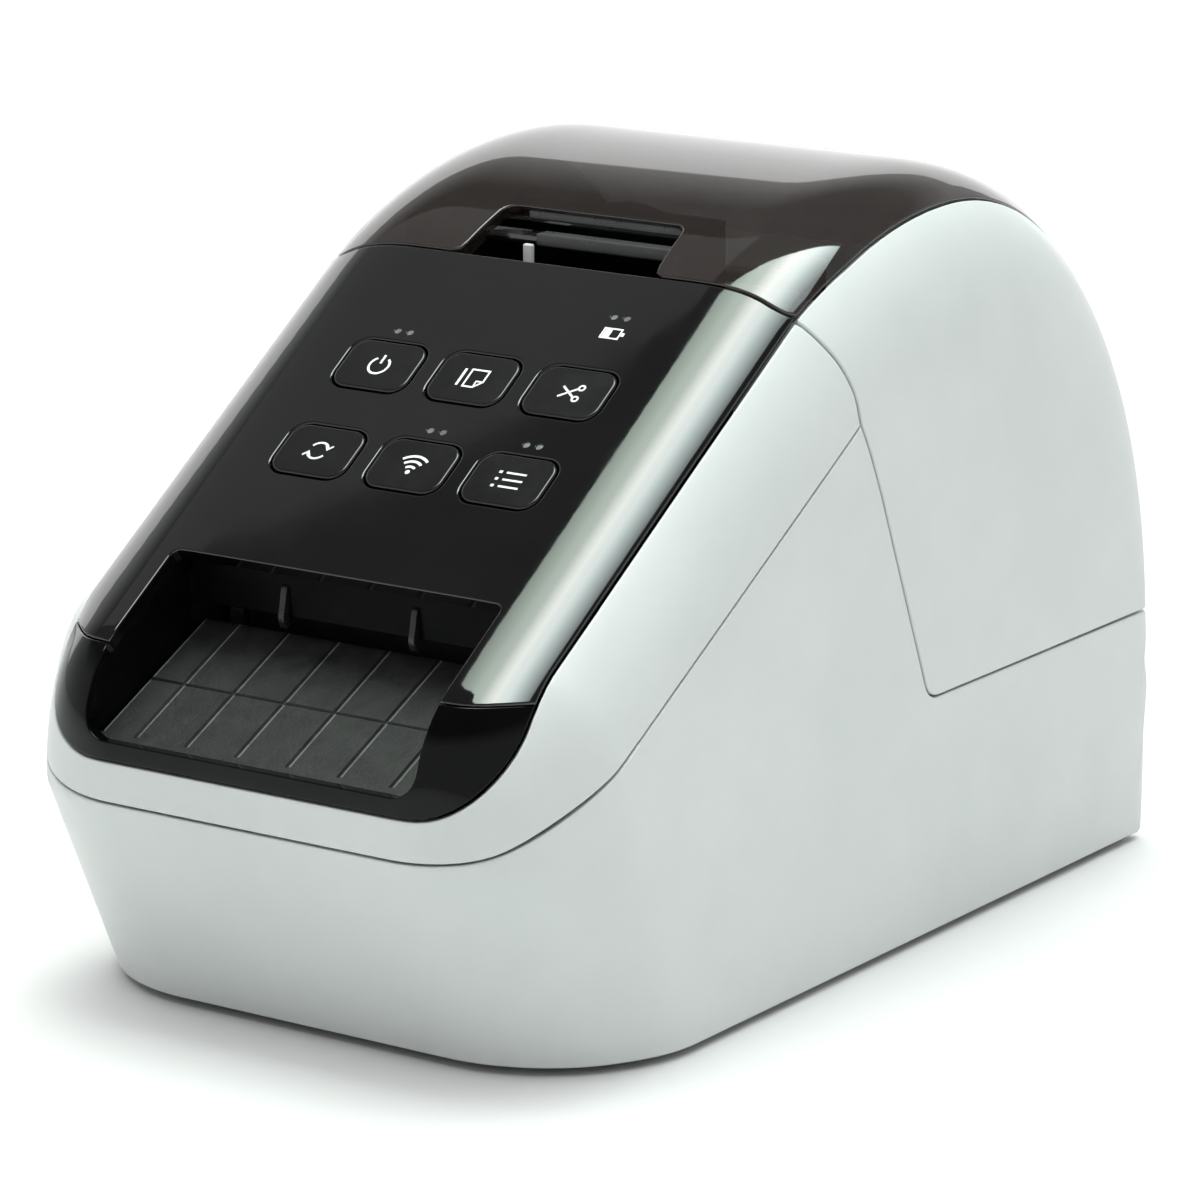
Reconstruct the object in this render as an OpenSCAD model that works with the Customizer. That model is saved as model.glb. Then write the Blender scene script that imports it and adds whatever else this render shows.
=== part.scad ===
// Desktop label maker: a roll-fed thermal printer with a lifting roll cover.
// The front faces -Y, the object stands on z = 0, and x = 0 is its middle plane.

/* [Casing] */
// Width of the casing
body_w = 125.3; // [124:0.1:127]
// Depth of the casing from the front lip to the rear wall
body_d = 214; // [213:0.5:215]
// Height of the crown of the cover above the table
body_h = 144.3; // [143.5:0.1:145]
// Wall thickness of the moulded shells
wall = 2.4; // [2:0.1:2.6]
// Gap along the parting lines
part_gap = 0.4; // [0.3:0.05:0.6]
// Radius of the front corners seen from above
front_corner_r = 32; // [28:1:34]
// Radius of the rear corners seen from above
rear_corner_r = 4; // [3:0.5:6]

/* [Top surface] */
// Slope of the control panel in degrees
slope_deg = 34; // [33.5:0.5:34.5]
// Height of the panel's lower edge, over the label mouth
slot_z = 83.4; // [83:0.1:84]
// Half width of the flat middle of the top surface
crown_half = 28; // [26:1:30]
// How far the top surface drops from the middle to the side wall
shoulder_drop = 56; // [52:1:60]
// Fullness of the rounded shoulders
shoulder_power = 3.3; // [3:0.1:3.6]
// Half width of the black top between the white sides
black_half = 52; // [51.5:0.1:52.5]

/* [Keys] */
// Width of a key cap
key_w = 16.6; // [15:0.2:17]
// Length of a key cap along the slope
key_l = 12.2; // [11:0.2:13]
// Travel of a key
key_travel = 0.8; // [0.5:0.1:0.9]
// Spacing of the keys across the panel
key_pitch_x = 21.2; // [20.5:0.1:22]
// Spacing of the two key rows along the slope
key_pitch_s = 22.6; // [22:0.1:24]

/* [Label path] */
// Width of the label roll
label_w = 62; // [58:1:62]
// Outer radius of the full label roll
roll_r = 36; // [20:1:37]
// Radius of the platen roller
platen_r = 6; // [5.5:0.1:6]
// Teeth on the motor pinion
pinion_teeth = 10; // [10:1:10]
// Teeth on the idler gear
idler_teeth = 30; // [30:1:30]
// Teeth on the platen gear
platen_teeth = 20; // [20:1:20]
// Tooth module of the feed gears
gear_module = 1; // [1:1:1]

/* [Cutter] */
// Stroke of the moving blade
cut_stroke = 7; // [6:0.5:7]
// Pitch radius of the cutter pinion
cut_pinion_r = 5; // [5:1:5]

/* [Hidden] */

half_w = body_w / 2;
front_y = -body_d / 2;
rear_y = body_d / 2;
far = 200;
eps = 0.05;

// Heights of the lower housing
foot_h = 1.6;
base_bottom = 1.5;
base_front_z = 42.4;
cover_edge_z = 48;
base_front_toe = 18.5;
base_draft = 1;

// The slope starts over the nose and ends at the crown
slot_y = -80;
crest_start_y = -15;
nose_r = 25;
rear_r = 62;
rear_lean = 5;
function slope_z(y) = slot_z + tan(slope_deg) * (y - slot_y);
crest_r = (body_h - slope_z(crest_start_y)) / (1 - cos(slope_deg));
crest_y = crest_start_y + crest_r * sin(slope_deg);
nose_y = front_y + nose_r;
nose_z = slope_z(nose_y) - nose_r / cos(slope_deg);

function crown_z(y) = body_h - crest_r + sqrt(pow(crest_r, 2) - pow(crest_y - y, 2));

function arc(c, r, a0, a1, n) =
    [for (i = [0:n]) let (a = a0 + (a1 - a0) * i / n) [c[0] + r * cos(a), c[1] + r * sin(a)]];

// Outline of the middle of the casing, as [y, z]
function rear_line_y(z) = crest_y + rear_r * cos(rear_lean)
    + (body_h - rear_r + rear_r * sin(rear_lean) - z) * tan(rear_lean);
function side_profile() = concat(
    [[front_y, 0]],
    arc([nose_y, nose_z], nose_r, 180, 90 + slope_deg, 6),
    arc([crest_y, body_h - crest_r], crest_r, 90 + slope_deg, 90, 6),
    arc([crest_y, body_h - rear_r], rear_r, 84, rear_lean, 12),
    [[rear_line_y(0), 0]]);

// Outline of the casing from above, as [x, y]
function plan(w, front, rear) = concat(
    arc([-w + front_corner_r, front + front_corner_r], front_corner_r, 180, 270, 10),
    arc([w - front_corner_r, front + front_corner_r], front_corner_r, 270, 360, 10),
    arc([w - rear_corner_r, rear - rear_corner_r], rear_corner_r, 0, 90, 4),
    arc([-w + rear_corner_r, rear - rear_corner_r], rear_corner_r, 90, 180, 4));

// The rounded shoulder: how far the top lies below its middle at a fraction q of the shoulder
function shoulder(q) = shoulder_drop * (1 - pow(1 - pow(q, shoulder_power), 1 / shoulder_power));
shoulder_steps = 9;
function shoulder_q(i) = pow(sin(90 * i / shoulder_steps), 2 / shoulder_power);

// Solid of the whole casing, shrunk by an inset
module envelope(inset = 0) {
    w = half_w - inset;
    intersection() {
        hull() {
            translate([0, 0, base_front_z])
                linear_extrude(far)
                    polygon(plan(w, front_y + inset, rear_y - inset));
            translate([0, 0, base_bottom])
                linear_extrude(eps)
                    polygon(plan(w - base_draft, front_y + base_front_toe + inset, rear_y - inset));
        }
        hull()
            for (i = [0:shoulder_steps], side = [-1, 1])
                translate([side * (crown_half + (w - crown_half) * shoulder_q(i)), 0,
                    -shoulder(shoulder_q(i))])
                    rotate([90, 0, 90])
                        linear_extrude(eps, center = true)
                            offset(delta = -inset)
                                polygon(side_profile());
    }
}

module shell(outset_gap = 0, thick = wall)
    difference() {
        envelope(outset_gap);
        envelope(outset_gap + thick);
    }

// Prism along X through a [y, z] outline
module across(points, half = far)
    translate([-half, 0, 0])
        rotate([90, 0, 90])
            linear_extrude(2 * half)
                polygon(points);

// Parting lines, as [y, z]
frame_line_r = 20;
frame_line_deg = 31.5;
apex_y = -3.8;
apex_z = 104.5;
frame_corner_y = apex_y - (apex_z - base_front_z) / tan(frame_line_deg);
cover_corner_y = 19.7;
cover_corner_r = 5;
cover_front_deg = 112.5;
cover_gap_y = -12.5;

function frame_line() = arc([frame_corner_y - frame_line_r * tan(frame_line_deg / 2),
    base_front_z + frame_line_r], frame_line_r, 270, 270 + frame_line_deg, 5);
function cover_corner() = arc([cover_corner_y + cover_corner_r / tan(cover_front_deg / 2),
    cover_edge_z + cover_corner_r], cover_corner_r, 270, cover_front_deg + 90, 4);
function cover_front() = [[apex_y, apex_z], [apex_y - 0.8, apex_z + 5.5], [apex_y - 3.1, apex_z + 11.3],
    [apex_y - 5.8, apex_z + 16], [cover_gap_y, apex_z + 21.5], [cover_gap_y, far]];

function base_region() = concat([[-far, -far], [-far, base_front_z]], frame_line(), [[apex_y, apex_z]],
    [for (i = [4:-1:0]) cover_corner()[i]], [[far, cover_edge_z], [far, -far]]);
function cover_region() = concat(cover_corner(), cover_front(), [[far, far], [far, cover_edge_z]]);
function frame_region() = concat([[-far, base_front_z]], frame_line(), cover_front(), [[-far, far]]);

module region(points, shrink = part_gap / 2)
    translate([-far, 0, 0])
        rotate([90, 0, 90])
            linear_extrude(2 * far)
                offset(delta = -shrink)
                    polygon(points);

// The black top seen from the front: a tall window with rounded lower corners
black_z = 50.5;
black_corner_r = 16;
module black_window(shrink = 0, back = cover_gap_y) {
    w = black_half - shrink;
    z = black_z + shrink;
    r = black_corner_r;
    translate([0, back, 0])
        rotate([90, 0, 0])
            linear_extrude(far)
                polygon(concat([[w, far], [-w, far]],
                    arc([-w + r, z + r], r, 180, 270, 8),
                    arc([w - r, z + r], r, 270, 360, 8)));
}

// Places a child on the panel: x across, s up the slope from the mouth edge, n along the normal
module on_panel(x, s, n = 0)
    translate([x, slot_y, slot_z])
        rotate([slope_deg, 0, 0])
            translate([0, s, n])
                children();

function rounded(w, l, r) = concat(
    arc([w / 2 - r, l / 2 - r], r, 0, 90, 5),
    arc([-w / 2 + r, l / 2 - r], r, 90, 180, 5),
    arc([-w / 2 + r, -l / 2 + r], r, 180, 270, 5),
    arc([w / 2 - r, -l / 2 + r], r, 270, 360, 5));

module rounded_block(w, l, h, r)
    linear_extrude(h)
        polygon(rounded(w, l, r));

// Lower edge of the opening over the label tray
mouth_half = 36.5;
seam_z = 70;
lip_z = 54.2;
tray_front_y = -104;
tray_front_z = 53.4;
tray_back_y = -76;
tray_back_z = 67;
tray_deg = atan((tray_back_z - tray_front_z) / (tray_back_y - tray_front_y));

// Keys, row by row from the top: power, feed, cut, set-up, wireless, mode
key_row_s = 50.4;
key_lift = 0.3;
key_body = 2.9;
key_corner_r = 3.4;
key_play = 0.3;
function key_x(i) = (i % 3 - 1) * key_pitch_x;
function key_s(i) = key_row_s - floor(i / 3) * key_pitch_s;
key_colour = [0.07, 0.07, 0.07];

// Lamps, as [x, s] of each pair
lamp_spots = [[-key_pitch_x, key_row_s + 9.2], [key_pitch_x, key_row_s + 19.8],
    [0, key_row_s - key_pitch_s + 9], [key_pitch_x, key_row_s - key_pitch_s + 9]];
lamp_r = 0.7;
lamp_gap = 2.8;

// Mechanism between the side plates
plate_x = 40;
plate_t = 1.2;
plate_low = 4;
platen_y = -46;
platen_z = 68;
platen_half = 33;
shaft_r = 2.5;
run_gap = 0.05;
motor_y = -58;
motor_z = 28;
motor_r = 17.5;
idler_post_r = 2;
gear_x = -44;
gear_t = 4;
pinion_r = gear_module * pinion_teeth / 2;
idler_r = gear_module * idler_teeth / 2;
platen_gear_r = gear_module * platen_teeth / 2;

// The idler meshes with both the pinion and the platen gear
link_y = platen_y - motor_y;
link_z = platen_z - motor_z;
link = norm([link_y, link_z]);
reach_a = pinion_r + idler_r;
reach_b = idler_r + platen_gear_r;
along = (reach_a * reach_a - reach_b * reach_b + link * link) / (2 * link);
aside = sqrt(reach_a * reach_a - along * along);
idler_y = motor_y + (link_y * along + link_z * aside) / link;
idler_z = motor_z + (link_z * along - link_y * aside) / link;
to_pinion = atan2(motor_z - idler_z, motor_y - idler_y);
to_platen = atan2(platen_z - idler_z, platen_y - idler_y);
idler_step = 360 / idler_teeth;
platen_step = 360 / platen_teeth;
mesh_shift = (to_pinion - to_platen) / idler_step - floor((to_pinion - to_platen) / idler_step);

// Gear with straight-sided teeth, a tooth at angle 0, axis along X
module gear(teeth, m, thick, bore_r, turn) {
    r = m * teeth / 2;
    step = 360 / teeth;
    root_w = 0.24 * step;
    tip_w = 0.10 * step;
    outline = [for (i = [0:teeth - 1])
        each [
            [(r - 1.2 * m) * cos(i * step - root_w), (r - 1.2 * m) * sin(i * step - root_w)],
            [(r + 0.85 * m) * cos(i * step - tip_w), (r + 0.85 * m) * sin(i * step - tip_w)],
            [(r + 0.85 * m) * cos(i * step + tip_w), (r + 0.85 * m) * sin(i * step + tip_w)],
            [(r - 1.2 * m) * cos(i * step + root_w), (r - 1.2 * m) * sin(i * step + root_w)]]];
    rotate([90, 0, 90])
        difference() {
            linear_extrude(thick, center = true)
                rotate(turn)
                    polygon(outline);
            cylinder(r = bore_r, h = thick + 2, center = true, $fn = 48);
        }
}

module rod(x0, x1, r)
    translate([x0, 0, 0])
        rotate([0, 90, 0])
            cylinder(r = r, h = x1 - x0, $fn = 64);

module tube(x0, x1, r_out, r_in)
    difference() {
        rod(x0, x1, r_out);
        rod(x0 - 1, x1 + 1, r_in);
    }

// Print head, hung from a pivot behind the platen
head_pivot_y = -24;
head_pivot_z = 88;
head_pivot_r = 2;
head_gap = 0.3;
head_z = platen_z + platen_r + head_gap;
head_t = 2;
sink_h = 6;
carrier_z = head_z + head_t + sink_h;
carrier_t = 1.6;
carrier_half = 37.6;
bridge_z = 92.5;

// Cutter
blade_y = -62.9;
blade_t = 0.8;
blade_gap = 0.3;
blade_low = 75.5;
blade_high = 85.5;
blade_half = 34.5;
arm_w = 3;
arm_low = 62;
rack_face_y = -63.85;
cut_axis_z = 70;
cut_teeth = 10;
cut_module = 2 * cut_pinion_r / cut_teeth;
cut_axis_y = rack_face_y - cut_pinion_r;

// Roll bay
roll_y = 54;
roll_z = 88;
core_r_in = 12.6;
core_t = 1.4;
bay_r = 42.5;
bay_t = 2;
bay_half = 50;
flange_r = 39;
flange_t = 2;
flange_x = label_w / 2 + 1.2;
hub_r = core_r_in - 0.3;
stub_r = 3.8;

// Cover hinge along the rear edge
hinge_y = 104.4;
hinge_z = 48.5;
bead_r = 2.1;
trough_r = 2.5;
hinge_pin_r = 1.1;
bracket_in = 40;
bracket_z = 36;
bracket_w = 6;
side_play = 0.4;
bracket_fit = 0.1;
// lower x of the bracket on each side
function bracket_x(side) = side * (bracket_in + bracket_w / 2) - bracket_w / 2;
window_rear_z = 60;
notch_half = 21.5;
cover_screw_x = 44.5;
cover_screw_y = 6;
ear_z = 126;
ear_top = 131;
ear_boss_r = 2.6;
notch_back = 1.2;

// Rear wall and its sockets
socket_y = 105.8;
ledge_z = 33;
inlet_x = -36;
usb_x = -8;
socket_z = 21;
board_z = 12;
board_t = 1.6;

// Screw bosses of the lower housing, as [x, y]
boss_spots = [for (x = [-52, 52], y = [-62, 6, 92]) [x, y]];
boss_r = 3.5;
screw_r = 1.5;
foot_spots = [for (x = [-40, 40], y = [-56, 80]) [x, y]];
foot_r = 6;

white = [0.82, 0.84, 0.84];
gloss_black = [0.05, 0.05, 0.05];
dark_grey = [0.2, 0.2, 0.2];
smoked = [0.22, 0.17, 0.16, 0.8];
steel = [0.7, 0.7, 0.72];
board_green = [0.1, 0.35, 0.2];

module base_housing() {
    color(white)
    difference() {
        union() {
            intersection() {
                shell();
                region(base_region());
                translate([-far, -far, base_bottom])
                    cube([2 * far, 2 * far, far]);
            }
            for (p = boss_spots)
                translate([p[0], p[1], 4.4])
                    cylinder(r = boss_r, h = 14, $fn = 32);
            // webs that tie each boss to its side wall
            for (p = boss_spots)
                translate([p[0] > 0 ? p[0] : -half_w + 2, p[1] - 0.8, 5])
                    cube([half_w - 2 - abs(p[0]), 1.6, 12]);
        }
        for (p = boss_spots)
            translate([p[0], p[1], 4])
                cylinder(r = screw_r - 0.1, h = 13, $fn = 32);
        // the rear wall steps in below a ledge
        translate([-far, socket_y, 0])
            cube([2 * far, far, ledge_z]);
        // trough along the rear edge for the hinge bead
        translate([0, hinge_y, hinge_z])
            rod(-far, far, trough_r);
        translate([-far, hinge_y - trough_r, hinge_z])
            cube([2 * far, far, far]);
        // recesses for the hinge brackets
        for (side = [-1, 1])
            translate([bracket_x(side) - bracket_fit, hinge_y - trough_r, bracket_z])
                cube([bracket_w + 2 * bracket_fit, far, far]);
        // openings for the sockets
        translate([inlet_x, socket_y, socket_z])
            rotate([90, 0, 0])
                cylinder(r = 5.5, h = 12, center = true, $fn = 48);
        translate([usb_x - 6.2, socket_y - 6, socket_z - 5.7])
            cube([12.4, 12, 11.4]);
    }
}

module bottom_plate() {
    color(dark_grey)
    difference() {
        translate([0, 0, foot_h])
            linear_extrude(2.4)
                polygon(plan(half_w - base_draft - wall - 0.6, front_y + base_front_toe + wall + 0.6,
                    socket_y - wall - 0.6));
        for (p = boss_spots)
            translate([p[0], p[1], 0]) {
                cylinder(r = screw_r + 0.2, h = 10, $fn = 32);
                cylinder(r = 3.2, h = foot_h + 1.2, $fn = 32);
            }
        // cooling slots under the main board
        for (x = [-36:6:36])
            translate([x - 1, 30, 0])
                cube([2, 40, 10]);
    }
}

module rubber_feet() {
    color("black")
    for (p = foot_spots)
        translate([p[0], p[1], 0])
            cylinder(r = foot_r, h = foot_h, $fn = 48);
}

module case_screws() {
    color(steel)
    for (p = boss_spots)
        translate([p[0], p[1], foot_h + 0.2]) {
            cylinder(r = 2.8, h = 1, $fn = 32);
            cylinder(r = screw_r - 0.15, h = 12, $fn = 32);
        }
}

module front_frame() {
    color(white)
    difference() {
        intersection() {
            shell();
            region(frame_region());
        }
        black_window(0, -part_gap);
    }
}

module control_panel() {
    color(gloss_black)
    difference() {
        intersection() {
            shell(0.15);
            region(frame_region());
            black_window(0.3, 0);
            translate([-far, -far, seam_z + part_gap / 2])
                cube([2 * far, 2 * far, far]);
        }
        // the label mouth
        translate([-mouth_half, -far, 0])
            cube([2 * mouth_half, far + slot_y, far]);
        for (i = [0:5])
            on_panel(key_x(i), key_s(i), -6)
                rounded_block(key_w + 2 * key_play, key_l + 2 * key_play, 12, key_corner_r + key_play);
        for (p = lamp_spots, side = [-0.5, 0.5])
            on_panel(p[0] + side * lamp_gap, p[1], -6)
                cylinder(r = lamp_r + 0.05, h = 12, $fn = 24);
    }
}

module front_bezel() {
    cheek_top = 3.4 / cos(slope_deg);
    color(gloss_black)
    difference() {
        union() {
            intersection() {
                shell(0.1);
                black_window(0.3);
                translate([-far, -far, 0])
                    cube([2 * far, far + tray_back_y, seam_z - part_gap / 2]);
            }
            // inner cheeks on both sides of the tray
            for (side = [-1, 1])
                translate([side * (mouth_half + 0.9), 0, 0])
                    across([[front_y + 2, black_z + 1], [front_y + 3.4, 62], [-98, 69],
                        [-95, slope_z(-95) - cheek_top], [-66, slope_z(-66) - cheek_top],
                        [-66, 79], [tray_back_y + 0.5, 79], [tray_back_y + 0.5, black_z + 1]], 0.9);
        }
        // opening over the tray
        translate([0, (tray_front_y - 0.3 + far) / 2, 0])
            rounded_block(2 * mouth_half, far - tray_front_y + 0.3, far, 6);
        // the lip in front of the tray is low
        translate([-mouth_half, -far, lip_z])
            cube([2 * mouth_half, far + tray_back_y, far]);
    }
}

// The tray's top follows a slope up into the mouth
module output_tray() {
    len = norm([tray_back_y - tray_front_y, tray_back_z - tray_front_z]);
    half = mouth_half - 0.5;
    front = 0.4;
    thick = 2.4;
    lip_depth = 8;
    lip_t = 1.6;
    sill_half = 30;
    groove_gap = 11.3;
    groove_w = 0.5;
    groove_depth = 0.5;
    groove_top = -0.1;
    groove_start = 2;
    cross_at = 0.56;
    color([0.28, 0.29, 0.29])
    translate([0, tray_front_y, tray_front_z])
        rotate([tray_deg, 0, 0])
            difference() {
                union() {
                    translate([-half, front, -thick])
                        cube([2 * half, len - front, thick + groove_top]);
                    // wall in front, under the lip
                    translate([-half, front, -lip_depth])
                        cube([2 * half, lip_t, lip_depth - 2]);
                    // sill behind, under the label path
                    translate([-sill_half, len - 2, -thick - 1])
                        cube([2 * sill_half, 8, 2]);
                }
                // lengthwise grooves
                for (i = [-3:2])
                    translate([(i + 0.5) * groove_gap - groove_w / 2, groove_start,
                        groove_top - groove_depth])
                        cube([groove_w, len, 2]);
                // cross groove between the two rows
                translate([-far, cross_at * len, groove_top - groove_depth])
                    cube([2 * far, groove_w, 2]);
            }
}

// Wall over the label slot, with two ribs that steer the label down to the tray
module exit_guides() {
    wall_y = -75.6;
    wall_t = 1.2;
    wall_half = mouth_half - 0.3;
    slot_top = 72.8;
    below_slope = 4.6;
    rib_x = 14.5;
    rib_half = 0.6;
    rib_top = 78.8;
    rib_low = 71.2;
    color([0.1, 0.1, 0.1]) {
        translate([-wall_half, wall_y, slot_top])
            cube([2 * wall_half, wall_t, slope_z(wall_y) - below_slope - slot_top]);
        for (x = [-rib_x, rib_x])
            translate([x, 0, 0])
                across([[wall_y + 0.1, rib_top], [wall_y + 0.1, rib_low], [wall_y - 0.9, rib_low - 0.4],
                    [wall_y - 1.7, rib_low + 1.8], [wall_y - 1.3, rib_top - 2.8]], rib_half);
    }
}

module roll_bay() {
    guide_half = 34;
    leg_w = 4;
    leg_h = 50;
    color(dark_grey)
    difference() {
        union() {
            // curved trough under the roll
            difference() {
                translate([0, roll_y, roll_z])
                    tube(-bay_half, bay_half, bay_r + bay_t, bay_r);
                translate([-far, -far, roll_z - 6])
                    cube([2 * far, 2 * far, far]);
            }
            // end walls
            for (x = [-bay_half, bay_half - bay_t])
                intersection() {
                    translate([0, roll_y, roll_z])
                        rod(x, x + bay_t, bay_r + 0.5);
                    translate([-far, -far, 0])
                        cube([2 * far, 2 * far, roll_z + 6]);
                }
            // guide plate that leads the label to the platen
            across([[platen_y + 9, platen_z + 1], [roll_y - bay_r, roll_z - 11],
                [roll_y - bay_r, roll_z - 8.6], [platen_y + 9, platen_z + 3]], guide_half);
            // legs down to the bottom plate
            for (x = [-46, 42], y = [24, 80])
                translate([x, y, plate_low])
                    cube([leg_w, leg_w, leg_h]);
        }
        // open slots that the flange stubs drop into
        for (x = [-bay_half - 1, bay_half - bay_t - 1])
            translate([x, roll_y - stub_r - 0.4, roll_z - stub_r - 0.4])
                cube([bay_t + 2, 2 * stub_r + 0.8, far]);
    }
}

module side_plate(x, with_gears)
    color(steel)
    difference() {
        across_at(x, plate_t)
            polygon([[-78, plate_low], [-76, 66], [-62, 82], [-20, 108], [-14, 108], [-14, 58],
                [-28, plate_low]]);
        translate([0, platen_y, platen_z])
            rod(-far, far, 5);
        translate([0, head_pivot_y, head_pivot_z])
            rod(-far, far, head_pivot_r);
        // window that lightens the plate and clears the cutter arms
        translate([-far, -72, 20])
            cube([2 * far, 6, 34]);
        if (with_gears) {
            translate([0, idler_y, idler_z])
                rod(-far, far, idler_post_r);
            translate([0, motor_y, motor_z])
                rod(-far, far, 3);
        } else {
            translate([0, cut_axis_y, cut_axis_z])
                rod(-far, far, 2);
        }
    }

// Plate of a [y, z] outline, centred on x
module across_at(x, thick)
    translate([x - thick / 2, 0, 0])
        rotate([90, 0, 90])
            linear_extrude(thick)
                children();

module left_side_plate() { side_plate(-plate_x, true); }
module right_side_plate() { side_plate(plate_x, false); }

module platen_bushes() {
    color([0.9, 0.88, 0.8])
    for (side = [-1, 1])
        translate([side * plate_x, platen_y, platen_z]) {
            tube(-plate_t / 2, plate_t / 2, 5, shaft_r + run_gap);
            mirror([side > 0 ? 1 : 0, 0, 0])
                tube(plate_t / 2, plate_t / 2 + 2, 6, shaft_r + run_gap);
        }
}

module platen_roller() {
    color([0.12, 0.12, 0.12])
    translate([0, platen_y, platen_z])
        tube(-platen_half, platen_half, platen_r, shaft_r);
}

module platen_shaft() {
    color(steel)
    translate([0, platen_y, platen_z])
        rod(gear_x - gear_t / 2 - 0.6, plate_x + 3, shaft_r);
}

module platen_gear() {
    color("white")
    translate([gear_x, platen_y, platen_z])
        gear(platen_teeth, gear_module, gear_t, shaft_r,
            to_platen + 180 + (0.5 - mesh_shift) * platen_step);
}

module idler_gear() {
    color("white")
    translate([gear_x, idler_y, idler_z])
        gear(idler_teeth, gear_module, gear_t, idler_post_r + run_gap, to_pinion);
}

module idler_shaft() {
    color(steel)
    translate([0, idler_y, idler_z]) {
        rod(gear_x - gear_t / 2 - 1, -plate_x + plate_t / 2, idler_post_r);
        rod(gear_x - gear_t / 2 - 1.6, gear_x - gear_t / 2 - 0.5, idler_post_r + 1.2);
    }
}

module motor_pinion() {
    color("goldenrod")
    translate([gear_x, motor_y, motor_z])
        gear(pinion_teeth, gear_module, gear_t + 1, 0.9, to_pinion + 180 + 180 / pinion_teeth);
    color(steel)
    translate([0, motor_y, motor_z])
        rod(gear_x - gear_t / 2 - 0.5, -plate_x + 1, 0.9);
}

module feed_motor() {
    color(steel)
    translate([0, motor_y, motor_z])
        difference() {
            union() {
                rod(-plate_x + plate_t / 2, -plate_x + 22, motor_r);
                translate([-plate_x + plate_t / 2, -21, -5])
                    cube([1.4, 42, 10]);
            }
            rod(-plate_x - 1, -plate_x + 6, 1.4);
        }
}

module print_head() {
    color([0.85, 0.82, 0.72])
    translate([-platen_half, platen_y - 4, head_z])
        cube([2 * platen_half, 8, head_t]);
}

module head_heatsink() {
    fins = 5;
    color([0.6, 0.6, 0.62])
    difference() {
        translate([-platen_half - 1, platen_y - 8, head_z + head_t])
            cube([2 * platen_half + 2, 18, sink_h]);
        for (i = [1:fins - 1])
            translate([-far, platen_y - 8 + i * 18 / fins - 0.8, head_z + head_t + 1.8])
                cube([2 * far, 1.6, sink_h - 3]);
    }
}

module head_carrier() {
    ear_t = 1.6;
    color(steel)
    difference() {
        union() {
            translate([-carrier_half, platen_y - 8, carrier_z])
                cube([2 * carrier_half, head_pivot_y - platen_y + 10, carrier_t]);
            for (side = [-1, 1])
                across_at(side * (carrier_half - ear_t / 2), ear_t)
                    polygon([[platen_y + 8, carrier_z], [head_pivot_y + 4, carrier_z],
                        [head_pivot_y + 4, head_pivot_z + 4], [head_pivot_y - 4, head_pivot_z + 4],
                        [platen_y + 8, carrier_z + 3]]);
        }
        translate([0, head_pivot_y, head_pivot_z])
            rod(-far, far, head_pivot_r + run_gap);
    }
}

module head_pivot_shaft() {
    color(steel)
    translate([0, head_pivot_y, head_pivot_z])
        rod(-plate_x - 1.6, plate_x + 1.6, head_pivot_r);
}

module head_springs() {
    color(steel)
    for (x = [-22, 22])
        translate([x, platen_y, carrier_z + carrier_t])
            difference() {
                cylinder(r = 3.2, h = bridge_z - carrier_z - carrier_t, $fn = 32);
                translate([0, 0, -1])
                    cylinder(r = 2.4, h = 30, $fn = 32);
            }
}

module spring_bridge() {
    color(steel)
    translate([-plate_x + plate_t / 2, platen_y - 5, bridge_z])
        cube([2 * plate_x - plate_t, 9, 1.2]);
}

module fixed_blade() {
    color([0.8, 0.8, 0.82])
    translate([-blade_half + 0.7, blade_y + blade_t + blade_gap, 50])
        cube([2 * blade_half - 1.4, 1, 22.5]);
}

module cutter_bar() {
    color(steel)
    translate([-plate_x + plate_t / 2, blade_y + blade_t + blade_gap + 1, 47])
        cube([2 * plate_x - plate_t, 5, 7]);
}

module cutter_blade() {
    color([0.8, 0.8, 0.82]) {
        // blade with a shallow V edge
        translate([0, blade_y + blade_t, 0])
            rotate([90, 0, 0])
                linear_extrude(blade_t)
                    polygon([[-blade_half, blade_low], [0, blade_low + 1.6], [blade_half, blade_low],
                        [blade_half, blade_high], [-blade_half, blade_high]]);
        for (side = [-1, 1])
            translate([side * (blade_half + arm_w / 2) - arm_w / 2, blade_y, arm_low])
                cube([arm_w, 2.3, blade_high - arm_low]);
        // rack teeth on the right arm, facing the pinion
        for (i = [0:5])
            across_at(blade_half + arm_w / 2, arm_w)
                translate([blade_y, cut_axis_z + (i - 1.5) * PI * cut_module])
                    polygon([[0.2, -0.72], [-1.8, -0.28], [-1.8, 0.28], [0.2, 0.72]]);
    }
}

module cutter_pinion() {
    color("goldenrod")
    translate([blade_half + arm_w / 2, cut_axis_y, cut_axis_z])
        gear(cut_teeth, cut_module, arm_w - 0.4, 0.9, 0);
    color(steel)
    translate([0, cut_axis_y, cut_axis_z])
        rod(blade_half + 0.2, plate_x + 2, 0.9);
}

module cutter_motor() {
    color(steel)
    translate([0, cut_axis_y, cut_axis_z])
        difference() {
            union() {
                intersection() {
                    rod(plate_x + plate_t / 2, plate_x + 12, 7);
                    translate([-far, -far, -5.5])
                        cube([2 * far, 2 * far, 11]);
                }
                rod(plate_x + 12, plate_x + 13.5, 3);
            }
            rod(plate_x - 2, plate_x + 4, 1.4);
        }
}

module key_cap(i) {
    color(key_colour)
    on_panel(key_x(i), key_s(i), key_lift - key_body)
        rounded_block(key_w, key_l, key_body, key_corner_r);
}
module power_key() { key_cap(0); }
module feed_key() { key_cap(1); }
module cut_key() { key_cap(2); }
module setup_key() { key_cap(3); }
module wireless_key() { key_cap(4); }
module mode_key() { key_cap(5); }

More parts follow.
